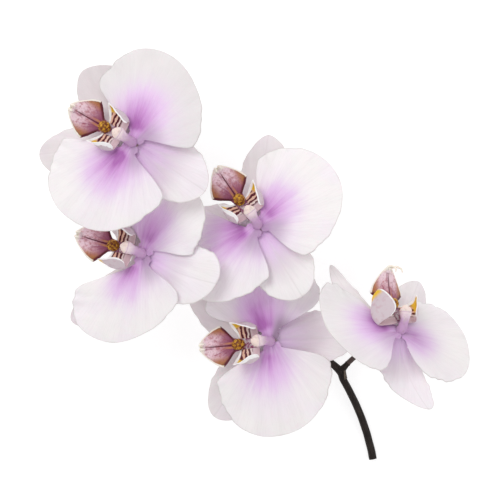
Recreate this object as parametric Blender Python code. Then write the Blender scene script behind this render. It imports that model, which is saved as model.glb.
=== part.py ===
"""Cut moth orchid spray with five open blooms, lying face up on a table.

Each petal, sepal, lip, column, flower stalk and the stem is one closed solid. The table is z = 0, and the
spray's box is centred on the origin. Lengths are in millimetres until a mesh is made, and angles are in
degrees. A bloom has its own frame: x runs along its dorsal sepal, y to the left of that sepal as seen from
the front, and z out of its face.
"""

import math
from dataclasses import dataclass

import bpy
import bmesh
import numpy as np
from mathutils import Matrix, Vector

MM = 0.001

# Petals and sepals: thickness at the margin, what the midline adds at the foot, and the mesh's pieces.
EDGE_THICKNESS = 0.8
FOOT_THICKNESS = 0.5
BLADE_ROWS = 10
BLADE_COLUMNS = 6
# How far the rows crowd towards the two ends of a blade: 0 is even spacing.
ROW_CROWDING = 0.65
# Share of the length over which the cup and the waves grow from nothing, the waves along a margin, and how
# far the left margin's waves run ahead of the right margin's.
FLAT_FOOT = 0.35
MARGIN_WAVES = 2.0
LEFT_WAVE_LEAD = 0.37
# Where the feet stand: distance from the bloom's axis, and place before or behind its face.
FOOT_RADIUS = 3.05
PETAL_LAYER = 0.3
SEPAL_LAYER = -1.7
LOW_LAYER = -3.2

# Stem, flower stalks and what joins them.
STEM_RADIUS = 2.0
STEM_TIP_RADIUS = 1.45
STEM_RINGS = 30
STEM_SIDES = 8
STEM_SAMPLES = 400
CURVE_STEPS = 24
STALK_SAMPLES = 60
STUB_LENGTH = 6.0
STUB_RADIUS = 1.75
STALK_RADIUS = 1.35
OVARY_RADIUS = 2.55
OVARY_LENGTH = 13.0
OVARY_TOP = -0.3
OVARY_FROM = 0.55
OVARY_GROWTH = 0.3
STALK_HANDLE = 0.35
STALK_RINGS = 12
STALK_SIDES = 8
JOINT_GAP = 0.35
BRACT_LENGTH = 6.0
BRACT_BELOW = 4.5
BRACT_RISE = (2.2, 3.4)
BRACT_ROOT = 0.9
BRACT_WRAP = 72.0
BRACT_POINT = 0.93
BRACT_ROWS = 4
BRACT_COLUMNS = 5
# Share of the stem's length over which its direction at a bract is taken.
STEM_STEP = 0.02


@dataclass(frozen=True)
class Blade:
    """A petal or sepal: its outline, how it curves, and how it leaves the bloom's centre."""

    around: float
    length: float
    left: float
    right: float
    widest: float = 0.48
    claw: float = 3.0
    fullness: float = 1.0
    taper: float = 0.55
    sweep: float = 0.0
    bend: float = 14.0
    cup: float = -2.0
    tilt: float = 4.0
    layer: float = PETAL_LAYER
    wave: float = 0.6
    phase: float = 0.0


def petal(around, length, left, right, **changes):
    return Blade(around, length, left, right, **changes)


def sepal(around, length, left, right, **changes):
    common = dict(claw=2.2, fullness=0.8, cup=-1.5, tilt=-5.0, layer=SEPAL_LAYER, wave=0.3)
    return Blade(around, length, left, right, **{**common, **changes})


@dataclass(frozen=True)
class SideLobe:
    """A side lobe of a lip: its bulge at the rear, middle and front, and the share of it that it sinks.

    It is scaled by size about its front foot, and its front corner leans inward by close.
    """

    bulge: tuple = (4.6, 5.4, 1.8)
    fall: float = 0.2
    size: float = 1.0
    close: float = 0.0


@dataclass(frozen=True)
class Bloom:
    """One flower: its centre, the lean of its face, its dorsal sepal's direction and its pieces.

    The middle lobe of the lip gains lip_rise of height and lip_slope to each side for every millimetre, and
    lip_curl is the radius of the curls at its tip, which lean by curl_lean. The side lobes are the left and
    the right one.
    """

    centre: tuple
    lean: float
    towards: float
    dorsal: float
    blades: dict
    lip_around: float = 180.0
    lip_pitch: float = 0.0
    lip_roll: float = 0.0
    lip_back: float = 0.0
    lip_size: float = 1.0
    lip_curl: float = 1.4
    curl_lean: float = 0.0
    lip_rise: float = 0.38
    lip_slope: float = -0.2
    lobes: tuple = (SideLobe(), SideLobe())
    node: float = 0.5
    stub: tuple = (0.0, 0.0, 1.0)


# Readings of each flower: outlines as seen from above, with heights set so that none cuts another.
BLOOMS = {
    "bloom_a": Bloom(
        centre=(-59.3, 56.8, 44.0), lean=18, towards=150, dorsal=-32, lip_around=183,
        lip_roll=3, lip_back=0.4, node=1.0, stub=(-0.66, 0.69, 0.3),
        blades=dict(
            dorsal_sepal=sepal(-2, 40, 15.5, 15.5, taper=0.58, phase=0.1),
            petal_upper=petal(
                88, 43.5, 33, 28.5, widest=0.3, fullness=1.65, taper=0.52, sweep=8.8, phase=0.3,
            ),
            petal_lower=petal(
                -88, 45.5, 28.5, 34, widest=0.3, fullness=2, taper=0.45, sweep=-6, phase=0.7,
            ),
            lateral_sepal_upper=sepal(154, 50.5, 13.5, 18.5, taper=0.58, sweep=5, phase=0.5),
            lateral_sepal_lower=sepal(
                -145, 53.5, 14.5, 12.5, taper=0.53, sweep=-2.3, phase=0.9, layer=LOW_LAYER,
            ),
        ),
    ),
    "bloom_b": Bloom(
        centre=(2.3, 16.1, 32.0), lean=20, towards=122, dorsal=-58, lip_around=185,
        lip_pitch=-3, lip_roll=5, node=0.68, stub=(-0.1, 0.92, 0.38),
        blades=dict(
            dorsal_sepal=sepal(0, 38.5, 15.5, 16, widest=0.46, taper=0.5, phase=0.2),
            petal_upper=petal(
                83, 44, 33.5, 25, widest=0.3, fullness=1.15, taper=0.53, sweep=5.6, phase=0.0,
            ),
            petal_lower=petal(
                -74, 44.5, 22, 35, widest=0.3, fullness=2, taper=0.52, sweep=-3.4, tilt=-3, phase=0.4,
            ),
            lateral_sepal_upper=sepal(147, 54, 12.5, 14, widest=0.46, taper=0.64, tilt=-9.5, phase=0.6),
            lateral_sepal_lower=sepal(
                -125.5, 40, 14, 13.5, taper=0.57, sweep=2, tilt=-2, bend=8, phase=0.8, layer=LOW_LAYER,
            ),
        ),
    ),
    "bloom_c": Bloom(
        centre=(-55.1, 2.1, 31.0), lean=22, towards=172, dorsal=-8, lip_around=175,
        lip_pitch=-6, lip_roll=11, node=0.91, stub=(-0.93, 0.12, 0.24),
        lobes=(SideLobe((5, 6.2, 3.4), 0.3, 1.1, 1.6), SideLobe((4.2, 5.7, 3.4), 0.26, 1.05)),
        blades=dict(
            dorsal_sepal=sepal(
                -22, 37.5, 16, 15.5, widest=0.62, fullness=0.95, taper=0.51, sweep=6.2, tilt=3,
            ),
            petal_upper=petal(
                65, 38, 25.5, 22, widest=0.3, fullness=2, taper=0.42, sweep=-1.7, phase=0.15,
            ),
            petal_lower=petal(
                -85, 42.5, 23, 35.5, widest=0.43, fullness=2.2, taper=0.59, sweep=-15, phase=0.55,
            ),
            lateral_sepal_upper=sepal(120, 42, 14.5, 14.5, phase=0.05),
            lateral_sepal_lower=sepal(
                -122.5, 56, 12.5, 11, widest=0.58, fullness=1.14, sweep=-14, tilt=-8, layer=LOW_LAYER,
            ),
        ),
    ),
    "bloom_d": Bloom(
        centre=(8.9, -41.8, 23.0), lean=9, towards=180, dorsal=-3, lip_around=191,
        lip_pitch=-5, lip_roll=9, lip_back=-0.4, node=0.425, stub=(-0.97, 0.05, 0.28),
        blades=dict(
            dorsal_sepal=sepal(6.5, 39, 14, 12.5, taper=0.51, sweep=-0.9, tilt=-8, phase=0.45),
            petal_upper=petal(100, 42.5, 31.5, 27.5, widest=0.38, fullness=2, taper=0.52, phase=0.25),
            petal_lower=petal(
                -76, 45, 28, 31, widest=0.3, fullness=1.3, taper=0.47, sweep=-4.5, phase=0.65,
            ),
            lateral_sepal_upper=sepal(148.5, 51.5, 15.5, 15, widest=0.44, phase=0.85),
            lateral_sepal_lower=sepal(
                -127, 49, 15.5, 13.5, widest=0.44, taper=0.54, sweep=1.1, phase=0.3, layer=LOW_LAYER,
            ),
        ),
    ),
    "bloom_e": Bloom(
        centre=(72.2, -35.8, 43.0), lean=44, towards=62, dorsal=-66, lip_around=175, lip_pitch=-10,
        lip_roll=10, lip_back=-1.5, lip_size=0.92, lip_curl=3, lip_rise=0.52, lip_slope=-0.38,
        curl_lean=62, node=0.316, stub=(0.66, 0.72, 0.2),
        lobes=(SideLobe((7.6, 8.2, 4.8), 0.65, 1.33, 2.5), SideLobe((5.2, 6.8, 4.6), 0.45, 1.17)),
        blades=dict(
            dorsal_sepal=sepal(
                -14, 34, 10, 13.5, widest=0.55, fullness=1.7, sweep=17.3, tilt=-24, phase=0.2,
            ),
            petal_upper=petal(
                69.5, 37.5, 26, 22.5, widest=0.43, fullness=0.55, taper=0.42, tilt=-1, cup=-2.6, phase=0.5,
                layer=-0.8,
            ),
            petal_lower=petal(
                -87.5, 33.5, 21.5, 33, widest=0.51, fullness=2, taper=0.66, sweep=-11, tilt=0,
            ),
            lateral_sepal_upper=sepal(137, 45, 10, 9, widest=0.43, taper=0.66, tilt=-2, layer=LOW_LAYER),
            lateral_sepal_lower=sepal(
                -128, 40, 9, 8, widest=0.6, fullness=1.5, sweep=-27, tilt=0, phase=0.1,
            ),
        ),
    ),
}

# The stem's middle line from its cut end, in world millimetres.
STEM_LINE = (
    (61.7, -103.7, 1.8),
    (60.2, -96.5, 1.8),
    (56.2, -83.5, 3.2),
    (51.0, -71.5, 5.0),
    (46.3, -62.6, 6.3),
    (44.5, -58.0, 6.9),
    (37.3, -51.7, 7.6),
    (30.1, -47.1, 8.0),
    (22.9, -38.9, 8.0),
    (14.7, -25.6, 8.0),
    (5.5, -12.8, 8.0),
    (-5.3, 0.0, 8.0),
    (-16.0, 11.3, 8.3),
    (-25.8, 21.5, 8.8),
)

# The lip's floor, from its claw to its tip: distance outward and half-width.
LIP_OUTLINE = (
    (3.9, 2.2),
    (9.2, 2.6),
    (14.5, 2.9),
    (18.6, 3.6),
    (21.8, 7.6),
    (24.8, 10.8),
    (28.2, 9.2),
    (31.2, 6.4),
    (33.2, 3.9),
    (34.3, 1.9),
)
LIP_CLAW_THICKNESS = 1.6
LIP_EDGE_THICKNESS = 0.8
LIP_FLOOR = 1.9
LIP_RISE = 0.05
# The throat is a shallow valley. Past the waist the lip rises faster, its halves slope back from a ridge
# along the middle, and its tip curls to the front.
LIP_WAIST = (17.0, 22.0)
THROAT_SLOPE = 0.1
MIDLOBE_FROM = 19.0
LIP_TIP_CURL = 1.8
LIP_CURL_FROM = 27.0
LIP_CURL_LENGTH = 6.5
CALLUS_AT = 16.0
CALLUS_RAISE = 1.5
CALLUS_RADII = (3.3, 2.9, 2.8)
CALLUS_END_RADIUS = 0.7
# A side lobe: its foot and its free margin, each from the rear to the front corner.
LOBE_FOOT = ((5.6, 2.2, 2.0), (15.6, 2.5, 2.6))
LOBE_MARGIN = ((5.4, 4.3, 8.6), (17.2, 10.2, 10.4))
LOBE_ARCH = 0.8
LOBE_THICKNESS = 0.8
# The two curls at the lip's tip: each turns forward and aside.
TENDRIL_START = 32.6
TENDRIL_TURN = 215.0
TENDRIL_APART = 0.7
TENDRIL_SPREAD = 0.5
TENDRIL_RADII = (0.8, 0.4)

# The column leans over the lip: its middle line in the bloom's frame, and its radius at each point.
COLUMN_LINE = ((0.0, 0.0, 0.25), (-0.4, 0.0, 2.4), (-2.6, 0.0, 5.8), (-6.0, 0.0, 8.8), (-8.4, 0.0, 10.0))
COLUMN_RADII = (2.6, 2.4, 2.5, 3.1, 1.5)
COLUMN_RINGS = 9
COLUMN_SIDES = 10

PETAL_COLOUR = (0.86, 0.80, 0.86)
SEPAL_COLOUR = (0.82, 0.78, 0.80)
LIP_COLOUR = (0.42, 0.20, 0.24)
COLUMN_COLOUR = (0.80, 0.66, 0.72)
STALK_COLOUR = (0.14, 0.11, 0.09)
STEM_COLOUR = (0.05, 0.038, 0.032)


def clear_scene():
    for old in list(bpy.data.objects):
        bpy.data.objects.remove(old, do_unlink=True)


def make_material(name, colour, roughness):
    material = bpy.data.materials.new(name)
    material.use_nodes = True
    shader = material.node_tree.nodes["Principled BSDF"]
    shader.inputs["Base Color"].default_value = (*colour, 1.0)
    shader.inputs["Roughness"].default_value = roughness
    shader.inputs["Metallic"].default_value = 0.0
    return material


def mesh_object(name, vertices, faces, material, weld=0.002):
    """An object from points in millimetres, with points closer than the weld joined."""
    mesh = bpy.data.meshes.new(name)
    mesh.from_pydata([tuple(float(c) * MM for c in v) for v in vertices], [], faces)
    work = bmesh.new()
    work.from_mesh(mesh)
    bmesh.ops.remove_doubles(work, verts=work.verts, dist=weld * MM)
    if work.calc_volume(signed=True) < 0.0:
        bmesh.ops.reverse_faces(work, faces=work.faces)
    work.to_mesh(mesh)
    work.free()
    mesh.materials.append(material)
    placed = bpy.data.objects.new(name, mesh)
    bpy.context.scene.collection.objects.link(placed)
    return placed


def union(name, pieces, material):
    """One closed solid from overlapping ones."""
    group = bpy.data.collections.new(name + "_parts")
    for piece in pieces[1:]:
        group.objects.link(piece)
    join = pieces[0].modifiers.new("join", "BOOLEAN")
    join.operation = "UNION"
    join.operand_type = "COLLECTION"
    join.collection = group
    join.solver = "EXACT"
    bpy.context.view_layer.update()
    evaluated = pieces[0].evaluated_get(bpy.context.evaluated_depsgraph_get())
    mesh = bpy.data.meshes.new_from_object(evaluated)
    for piece in pieces:
        bpy.data.objects.remove(piece, do_unlink=True)
    bpy.data.collections.remove(group)
    mesh.name = name
    mesh.materials.clear()
    mesh.materials.append(material)
    joined = bpy.data.objects.new(name, mesh)
    bpy.context.scene.collection.objects.link(joined)
    return joined


def half_width(share, width, blade):
    """Half-width at a share of the length: an even opening from the claw, then a rounded tip."""
    inner = np.clip(share / blade.widest, 0.0, 1.0)
    opening = blade.claw + (width - blade.claw) * (1.0 - (1.0 - inner) ** 2) ** blade.fullness
    outer = np.clip((share - blade.widest) / (1.0 - blade.widest), 0.0, 1.0)
    closing = width * (1.0 - outer ** 2) ** blade.taper
    return np.where(share <= blade.widest, opening, closing)


def blade_surface(blade, share, side):
    """Middle surface at a share of the length and a side from -1, right, to +1, left."""
    width = np.where(side > 0, half_width(share, blade.left, blade), half_width(share, blade.right, blade))
    y = side * width
    bend = math.radians(blade.bend)
    x = blade.length * np.sin(bend * share) / bend
    z = -blade.length * (1.0 - np.cos(bend * share)) / bend
    ramp = np.sin(np.clip(share / FLAT_FOOT, 0.0, 1.0) * math.pi / 2)
    reach = np.abs(y) / (0.5 * (blade.left + blade.right))
    z = z + blade.cup * reach ** 2 * ramp
    turns = MARGIN_WAVES * share + blade.phase + np.where(side > 0, LEFT_WAVE_LEAD, 0.0)
    z = z + blade.wave * reach ** 3 * np.sin(2 * math.pi * turns) * ramp
    return np.stack([x, y + blade.sweep * share ** 2, z], axis=-1)


def closed_sheet(front, back):
    """Vertices and triangles of the solid between two grids, which are cut alike."""
    rows, columns = front.shape[:2]
    count = rows * columns
    vertices = np.vstack([front.reshape(-1, 3), back.reshape(-1, 3)])
    faces = []
    for i in range(rows - 1):
        for j in range(columns - 1):
            a, b = i * columns + j, i * columns + j + 1
            c, d = a + columns, b + columns
            halves = ((a, c, d), (a, d, b)) if j < columns // 2 else ((a, c, b), (c, d, b))
            for p, q, r in halves:
                faces.append((p, q, r))
                faces.append((r + count, q + count, p + count))
    rim = list(range(columns))
    rim += [i * columns + columns - 1 for i in range(1, rows)]
    rim += [(rows - 1) * columns + j for j in range(columns - 2, -1, -1)]
    rim += [i * columns for i in range(rows - 2, 0, -1)]
    for p, q in zip(rim, rim[1:] + rim[:1]):
        faces.append((p, q, q + count))
        faces.append((p, q + count, p + count))
    return vertices, faces


def bloom_frame(bloom):
    """The bloom's frame in the world, in millimetres."""
    lean, towards, dorsal = (math.radians(a) for a in (bloom.lean, bloom.towards, bloom.dorsal))
    front = Vector((math.sin(lean) * math.cos(towards), math.sin(lean) * math.sin(towards), math.cos(lean)))
    along = Vector((math.cos(dorsal), math.sin(dorsal), 0.0))
    along.z = -(front.x * along.x + front.y * along.y) / front.z
    along.normalize()
    across = front.cross(along)
    frame = Matrix((along, across, front)).transposed().to_4x4()
    frame.translation = bloom.centre
    return frame


def blade_frame(blade):
    """A blade's frame in its bloom's frame, in millimetres."""
    around = Matrix.Rotation(math.radians(blade.around), 4, "Z")
    foot = Matrix.Translation((FOOT_RADIUS, 0.0, blade.layer))
    return around @ foot @ Matrix.Rotation(math.radians(-blade.tilt), 4, "Y")


def lip_frame(bloom):
    """The lip's frame in its bloom's frame: x outward along the lip, z to the front."""
    back = Matrix.Translation((0.0, 0.0, -bloom.lip_back))
    around = back @ Matrix.Rotation(math.radians(bloom.lip_around), 4, "Z")
    pitch = Matrix.Rotation(math.radians(-bloom.lip_pitch), 4, "Y")
    return around @ pitch @ Matrix.Rotation(math.radians(bloom.lip_roll), 4, "X")


def moved(points, frame):
    matrix = np.array(frame)
    return points @ matrix[:3, :3].T + matrix[:3, 3]


def in_metres(frame):
    scaled = frame.copy()
    scaled.translation = frame.translation * MM
    return scaled


def make_blade(name, bloom, blade, parent, material):
    steps = np.linspace(0.0, 1.0, BLADE_ROWS + 1)
    shares = (1.0 - ROW_CROWDING) * steps + ROW_CROWDING * 0.5 * (1.0 - np.cos(math.pi * steps))
    sides = np.linspace(-1.0, 1.0, BLADE_COLUMNS + 1)
    share, side = np.meshgrid(shares, sides, indexing="ij")
    middle = blade_surface(blade, share, side)
    thickness = EDGE_THICKNESS + FOOT_THICKNESS * (1.0 - share) ** 2 * (1.0 - side ** 2)
    half = np.stack([0 * share, 0 * share, thickness / 2], axis=-1)
    world = bloom_frame(bloom) @ blade_frame(blade)
    front = moved(middle + half, world)
    back = moved(middle - half, world)
    # A tip that would reach below the table lies flat on it.
    front[..., 2] = np.maximum(front[..., 2], EDGE_THICKNESS)
    back[..., 2] = np.maximum(back[..., 2], 0.0)
    home = world.inverted()
    vertices, faces = closed_sheet(moved(front, home), moved(back, home))
    placed = mesh_object(name, vertices, faces, material)
    placed.parent = parent
    placed.matrix_local = in_metres(blade_frame(blade))
    return placed


def smooth_line(points, count):
    """Evenly spaced points on a smooth curve through the given ones."""
    points = np.array(points, float)
    padded = np.vstack([2 * points[0] - points[1], points, 2 * points[-1] - points[-2]])
    fine = []
    for i in range(len(points) - 1):
        p0, p1, p2, p3 = padded[i : i + 4]
        for t in np.linspace(0.0, 1.0, CURVE_STEPS, endpoint=False):
            slope = (p2 - p0) * t + (2 * p0 - 5 * p1 + 4 * p2 - p3) * t ** 2
            fine.append(p1 + 0.5 * (slope + (3 * p1 - p0 - 3 * p2 + p3) * t ** 3))
    fine.append(points[-1])
    return evenly(np.array(fine), count)


def evenly(line, count):
    """The same line with points at equal distances."""
    lengths = np.concatenate([[0.0], np.cumsum(np.linalg.norm(np.diff(line, axis=0), axis=1))])
    wanted = np.linspace(0.0, lengths[-1], count)
    return np.stack([np.interp(wanted, lengths, line[:, k]) for k in range(3)], axis=-1)


def directions(line, ends=None):
    """Unit vectors along a line, with those at its two ends given where they are known."""
    ahead = np.gradient(line, axis=0)
    if ends is not None:
        ahead[0], ahead[-1] = ends
    return ahead / np.linalg.norm(ahead, axis=1)[:, None]


def tube(line, radii, sides, upright=(0.0, 0.0, 1.0), ends=None):
    """Vertices and faces of a closed tube, with a flat side facing away from upright."""
    line = np.asarray(line, float)
    normal = np.asarray(upright, float)
    vertices = []
    for point, direction, radius in zip(line, directions(line, ends), radii):
        normal = normal - direction * normal.dot(direction)
        normal /= np.linalg.norm(normal)
        across = np.cross(direction, normal)
        for k in range(sides):
            angle = 2 * math.pi * (k + 0.5) / sides
            vertices.append(point + radius * (math.cos(angle) * normal + math.sin(angle) * across))
    faces = []
    for i in range(len(line) - 1):
        for k in range(sides):
            a, b = i * sides + k, i * sides + (k + 1) % sides
            faces.append((a, b, b + sides))
            faces.append((a, b + sides, a + sides))
    faces.append(tuple(reversed(range(sides))))
    last = (len(line) - 1) * sides
    faces.append(tuple(range(last, last + sides)))
    return np.array(vertices), faces


def lip_height(bloom, x, y):
    """Height of the lip's floor at a place outward and aside."""
    rise = LIP_RISE * (x - LIP_OUTLINE[0][0]) + bloom.lip_rise * np.maximum(x - MIDLOBE_FROM, 0.0)
    curl = LIP_TIP_CURL * np.clip((x - LIP_CURL_FROM) / LIP_CURL_LENGTH, 0.0, 1.0) ** 2
    slope = np.interp(x, LIP_WAIST, (THROAT_SLOPE, bloom.lip_slope))
    return LIP_FLOOR + rise + slope * np.abs(y) + curl


def lip_floor(bloom):
    reach = np.array([p[0] for p in LIP_OUTLINE])
    width = np.array([p[1] for p in LIP_OUTLINE])
    side = np.linspace(-1.0, 1.0, 5)
    x = np.repeat(reach[:, None], len(side), axis=1)
    y = width[:, None] * side
    z = lip_height(bloom, x, y)
    share = (x - reach[0]) / (reach[-1] - reach[0])
    half = 0.5 * (LIP_EDGE_THICKNESS + (LIP_CLAW_THICKNESS - LIP_EDGE_THICKNESS) * (1.0 - share))
    front = np.stack([x, y, z + half], axis=-1)
    back = np.stack([x, y, z - half], axis=-1)
    return closed_sheet(front, back)


def side_lobe(bloom, hand):
    """A wing beside the column, curved in like a shell: hand is +1 on the left and -1 on the right."""
    along, up = np.meshgrid(np.linspace(0.0, 1.0, 5), np.linspace(0.0, 1.0, 5), indexing="ij")
    foot = np.array(LOBE_FOOT[0]) + along[..., None] * np.subtract(LOBE_FOOT[1], LOBE_FOOT[0])
    margin = np.array(LOBE_MARGIN[0]) + along[..., None] * np.subtract(LOBE_MARGIN[1], LOBE_MARGIN[0])
    lobe = bloom.lobes[0 if hand > 0 else 1]
    margin[..., 1] -= lobe.close * along
    middle = foot + up[..., None] * (margin - foot)
    bulge = np.polyval(np.polyfit((0.0, 0.5, 1.0), lobe.bulge, 2), along) * np.sin(math.pi * up)
    middle += bulge[..., None] * np.array([0.0, 1.0, -lobe.fall])
    middle[..., 2] += LOBE_ARCH * np.sin(math.pi * along) * up
    middle = LOBE_FOOT[1] + lobe.size * (middle - LOBE_FOOT[1])
    normal = np.cross(np.gradient(middle, axis=0), np.gradient(middle, axis=1))
    normal /= np.linalg.norm(normal, axis=-1)[..., None]
    front = middle + normal * LOBE_THICKNESS / 2
    back = middle - normal * LOBE_THICKNESS / 2
    flip = np.array([1.0, hand, 1.0])
    return closed_sheet(front * flip, back * flip)


def callus(bloom):
    """The knob between the side lobes."""
    centre = np.array([CALLUS_AT, 0.0, lip_height(bloom, CALLUS_AT, 0.0) + CALLUS_RAISE])
    rings = np.linspace(-1.0, 1.0, 6)
    line = [centre + np.array([0.0, 0.0, CALLUS_RADII[2] * h]) for h in rings]
    radii = [max(CALLUS_RADII[0] * math.sqrt(1.0 - h * h), CALLUS_END_RADIUS) for h in rings]
    vertices, faces = tube(line, radii, 8, upright=(1.0, 0.0, 0.0))
    vertices[:, 1] *= CALLUS_RADII[1] / CALLUS_RADII[0]
    return vertices, faces


def tendril(bloom, hand):
    """A thin curl at the lip's tip, which may lean to the lip's right."""
    start = np.array([TENDRIL_START, 0.0, lip_height(bloom, TENDRIL_START, 0.0)])
    angles = np.radians(np.linspace(0.0, TENDRIL_TURN, 8))
    share = angles / angles[-1]
    spread = hand * (TENDRIL_APART + TENDRIL_SPREAD * bloom.lip_curl * share)
    ahead = bloom.lip_curl * np.sin(angles)
    rise = bloom.lip_curl * (1.0 - np.cos(angles))
    lean = math.radians(bloom.curl_lean)
    line = start + np.stack([ahead, spread - rise * math.sin(lean), rise * math.cos(lean)], axis=-1)
    radii = TENDRIL_RADII[0] + (TENDRIL_RADII[1] - TENDRIL_RADII[0]) * share
    return tube(line, radii, 5)


def make_lip(name, bloom, parent, material):
    pairs = [shape(bloom, hand) for shape in (side_lobe, tendril) for hand in (1, -1)]
    shapes = [lip_floor(bloom), callus(bloom), *pairs]
    pieces = [mesh_object(f"{name}_{k}", v * bloom.lip_size, f, material) for k, (v, f) in enumerate(shapes)]
    lip = union(name, pieces, material)
    lip.parent = parent
    lip.matrix_local = in_metres(lip_frame(bloom))
    return lip


def make_column(name, bloom, parent, material):
    line = smooth_line(COLUMN_LINE, COLUMN_RINGS)
    roll = math.radians(bloom.lip_roll)
    line = np.stack([line[:, 0], line[:, 2] * math.sin(roll), line[:, 2] * math.cos(roll)], axis=-1)
    share = np.linspace(0.0, 1.0, COLUMN_RINGS)
    known = np.linspace(0.0, 1.0, len(COLUMN_RADII))
    radii = np.interp(share, known, COLUMN_RADII)
    ends = ((0.0, 0.0, 1.0), line[-1] - line[-2])
    vertices, faces = tube(line, radii, COLUMN_SIDES, upright=(1.0, 0.0, 0.0), ends=ends)
    column = mesh_object(name, vertices, faces, material)
    column.parent = parent
    turn = Matrix.Rotation(math.radians(bloom.lip_around - 180.0), 4, "Z")
    column.matrix_local = turn
    return column


def stem_point(share):
    """Point on the stem's middle line at a share of its length."""
    line = smooth_line(STEM_LINE, STEM_SAMPLES + 1)
    return line[round(share * STEM_SAMPLES)]


def stub_end(bloom):
    direction = np.array(bloom.stub) / np.linalg.norm(bloom.stub)
    return stem_point(bloom.node) + STUB_LENGTH * direction, direction


def make_stalk(name, bloom, material):
    """A flower stalk from its stub on the stem to the back of the bloom, thicker at the ovary."""
    end, direction = stub_end(bloom)
    frame = np.array(bloom_frame(bloom))
    front = frame[:3, 2]
    start = end + JOINT_GAP * direction
    top = frame[:3, 3] + OVARY_TOP * front
    reach = np.linalg.norm(top - start)
    handles = (start, start + STALK_HANDLE * reach * direction, top - OVARY_LENGTH * front, top)
    t = np.linspace(0.0, 1.0, STALK_SAMPLES)[:, None]
    weights = ((1 - t) ** 3, 3 * (1 - t) ** 2 * t, 3 * (1 - t) * t ** 2, t ** 3)
    line = evenly(sum(w * np.array(h) for w, h in zip(weights, handles)), STALK_RINGS)
    share = np.linspace(0.0, 1.0, STALK_RINGS)
    swell = np.clip((share - OVARY_FROM) / OVARY_GROWTH, 0.0, 1.0)
    radii = STALK_RADIUS + (OVARY_RADIUS - STALK_RADIUS) * swell ** 2 * (3 - 2 * swell)
    vertices, faces = tube(line, radii, STALK_SIDES, ends=(direction, front))
    return mesh_object(name, vertices, faces, material)


def stub_shape(bloom):
    end, direction = stub_end(bloom)
    start = stem_point(bloom.node)
    line = np.array([start, start + 0.5 * (end - start), end])
    return tube(line, [STUB_RADIUS, STUB_RADIUS, STALK_RADIUS], STALK_SIDES)


def bract_shape(bloom):
    """A small pointed scale that hugs the stem below a flower stalk."""
    node = stem_point(bloom.node)
    ahead = node - stem_point(bloom.node - STEM_STEP)
    ahead /= np.linalg.norm(ahead)
    foot = node - BRACT_BELOW * ahead
    away = np.array(bloom.stub) - ahead * np.dot(bloom.stub, ahead)
    away /= np.linalg.norm(away)
    across = np.cross(ahead, away)
    front = np.zeros((BRACT_ROWS, BRACT_COLUMNS, 3))
    back = np.zeros((BRACT_ROWS, BRACT_COLUMNS, 3))
    for i, along in enumerate(np.linspace(0.0, 1.0, BRACT_ROWS)):
        width = math.radians(BRACT_WRAP) * math.sqrt(1.0 - BRACT_POINT * along)
        for j, angle in enumerate(np.linspace(-width, width, BRACT_COLUMNS)):
            outward = math.cos(angle) * away + math.sin(angle) * across
            base = foot + along * BRACT_LENGTH * ahead
            front[i, j] = base + (BRACT_RISE[0] + (BRACT_RISE[1] - BRACT_RISE[0]) * along) * outward
            back[i, j] = base + BRACT_ROOT * outward
    return closed_sheet(front, back)


def make_stem(material):
    line = smooth_line(STEM_LINE, STEM_RINGS)
    radii = np.linspace(STEM_RADIUS, STEM_TIP_RADIUS, STEM_RINGS)
    vertices, faces = tube(line, radii, STEM_SIDES)
    vertices[:, 2] = np.maximum(vertices[:, 2], 0.0)
    pieces = [mesh_object("stem_axis", vertices, faces, material)]
    for name, bloom in BLOOMS.items():
        pieces.append(mesh_object(f"stub_{name}", *stub_shape(bloom), material))
        pieces.append(mesh_object(f"bract_{name}", *bract_shape(bloom), material))
    return union("stem", pieces, material)


def make_bloom(name, bloom, materials):
    centre = bpy.data.objects.new(name, None)
    bpy.context.scene.collection.objects.link(centre)
    centre.matrix_world = in_metres(bloom_frame(bloom))
    bpy.context.view_layer.update()
    for part, blade in bloom.blades.items():
        kind = "petal" if part.startswith("petal") else "sepal"
        make_blade(f"{name}_{part}", bloom, blade, centre, materials[kind])
    make_lip(f"{name}_lip", bloom, centre, materials["lip"])
    make_column(f"{name}_column", bloom, centre, materials["column"])
    make_stalk(f"{name}_stalk", bloom, materials["stalk"])


def main():
    clear_scene()
    materials = {
        "petal": make_material("petal", PETAL_COLOUR, 0.5),
        "sepal": make_material("sepal", SEPAL_COLOUR, 0.5),
        "lip": make_material("lip", LIP_COLOUR, 0.4),
        "column": make_material("column", COLUMN_COLOUR, 0.4),
        "stalk": make_material("stalk", STALK_COLOUR, 0.5),
        "stem": make_material("stem", STEM_COLOUR, 0.5),
    }
    make_stem(materials["stem"])
    for name, bloom in BLOOMS.items():
        make_bloom(name, bloom, materials)


main()
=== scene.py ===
"""Looks of a cut moth orchid spray: fine petals, lips, columns, flower stalks and stem.

Each fine piece follows the same curves as the solid that it stands for. Lengths are in millimetres until
a mesh is made, and angles are in degrees. A bloom has its own frame: x runs along its dorsal sepal, y to
the left of that sepal as seen from the front, and z out of its face. Colours are linear red, green and
blue.
"""

from dataclasses import dataclass
from functools import reduce
from math import cos, pi, radians, sin

import bmesh
import bpy
import numpy as np
from mathutils import Matrix, Vector


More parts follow.
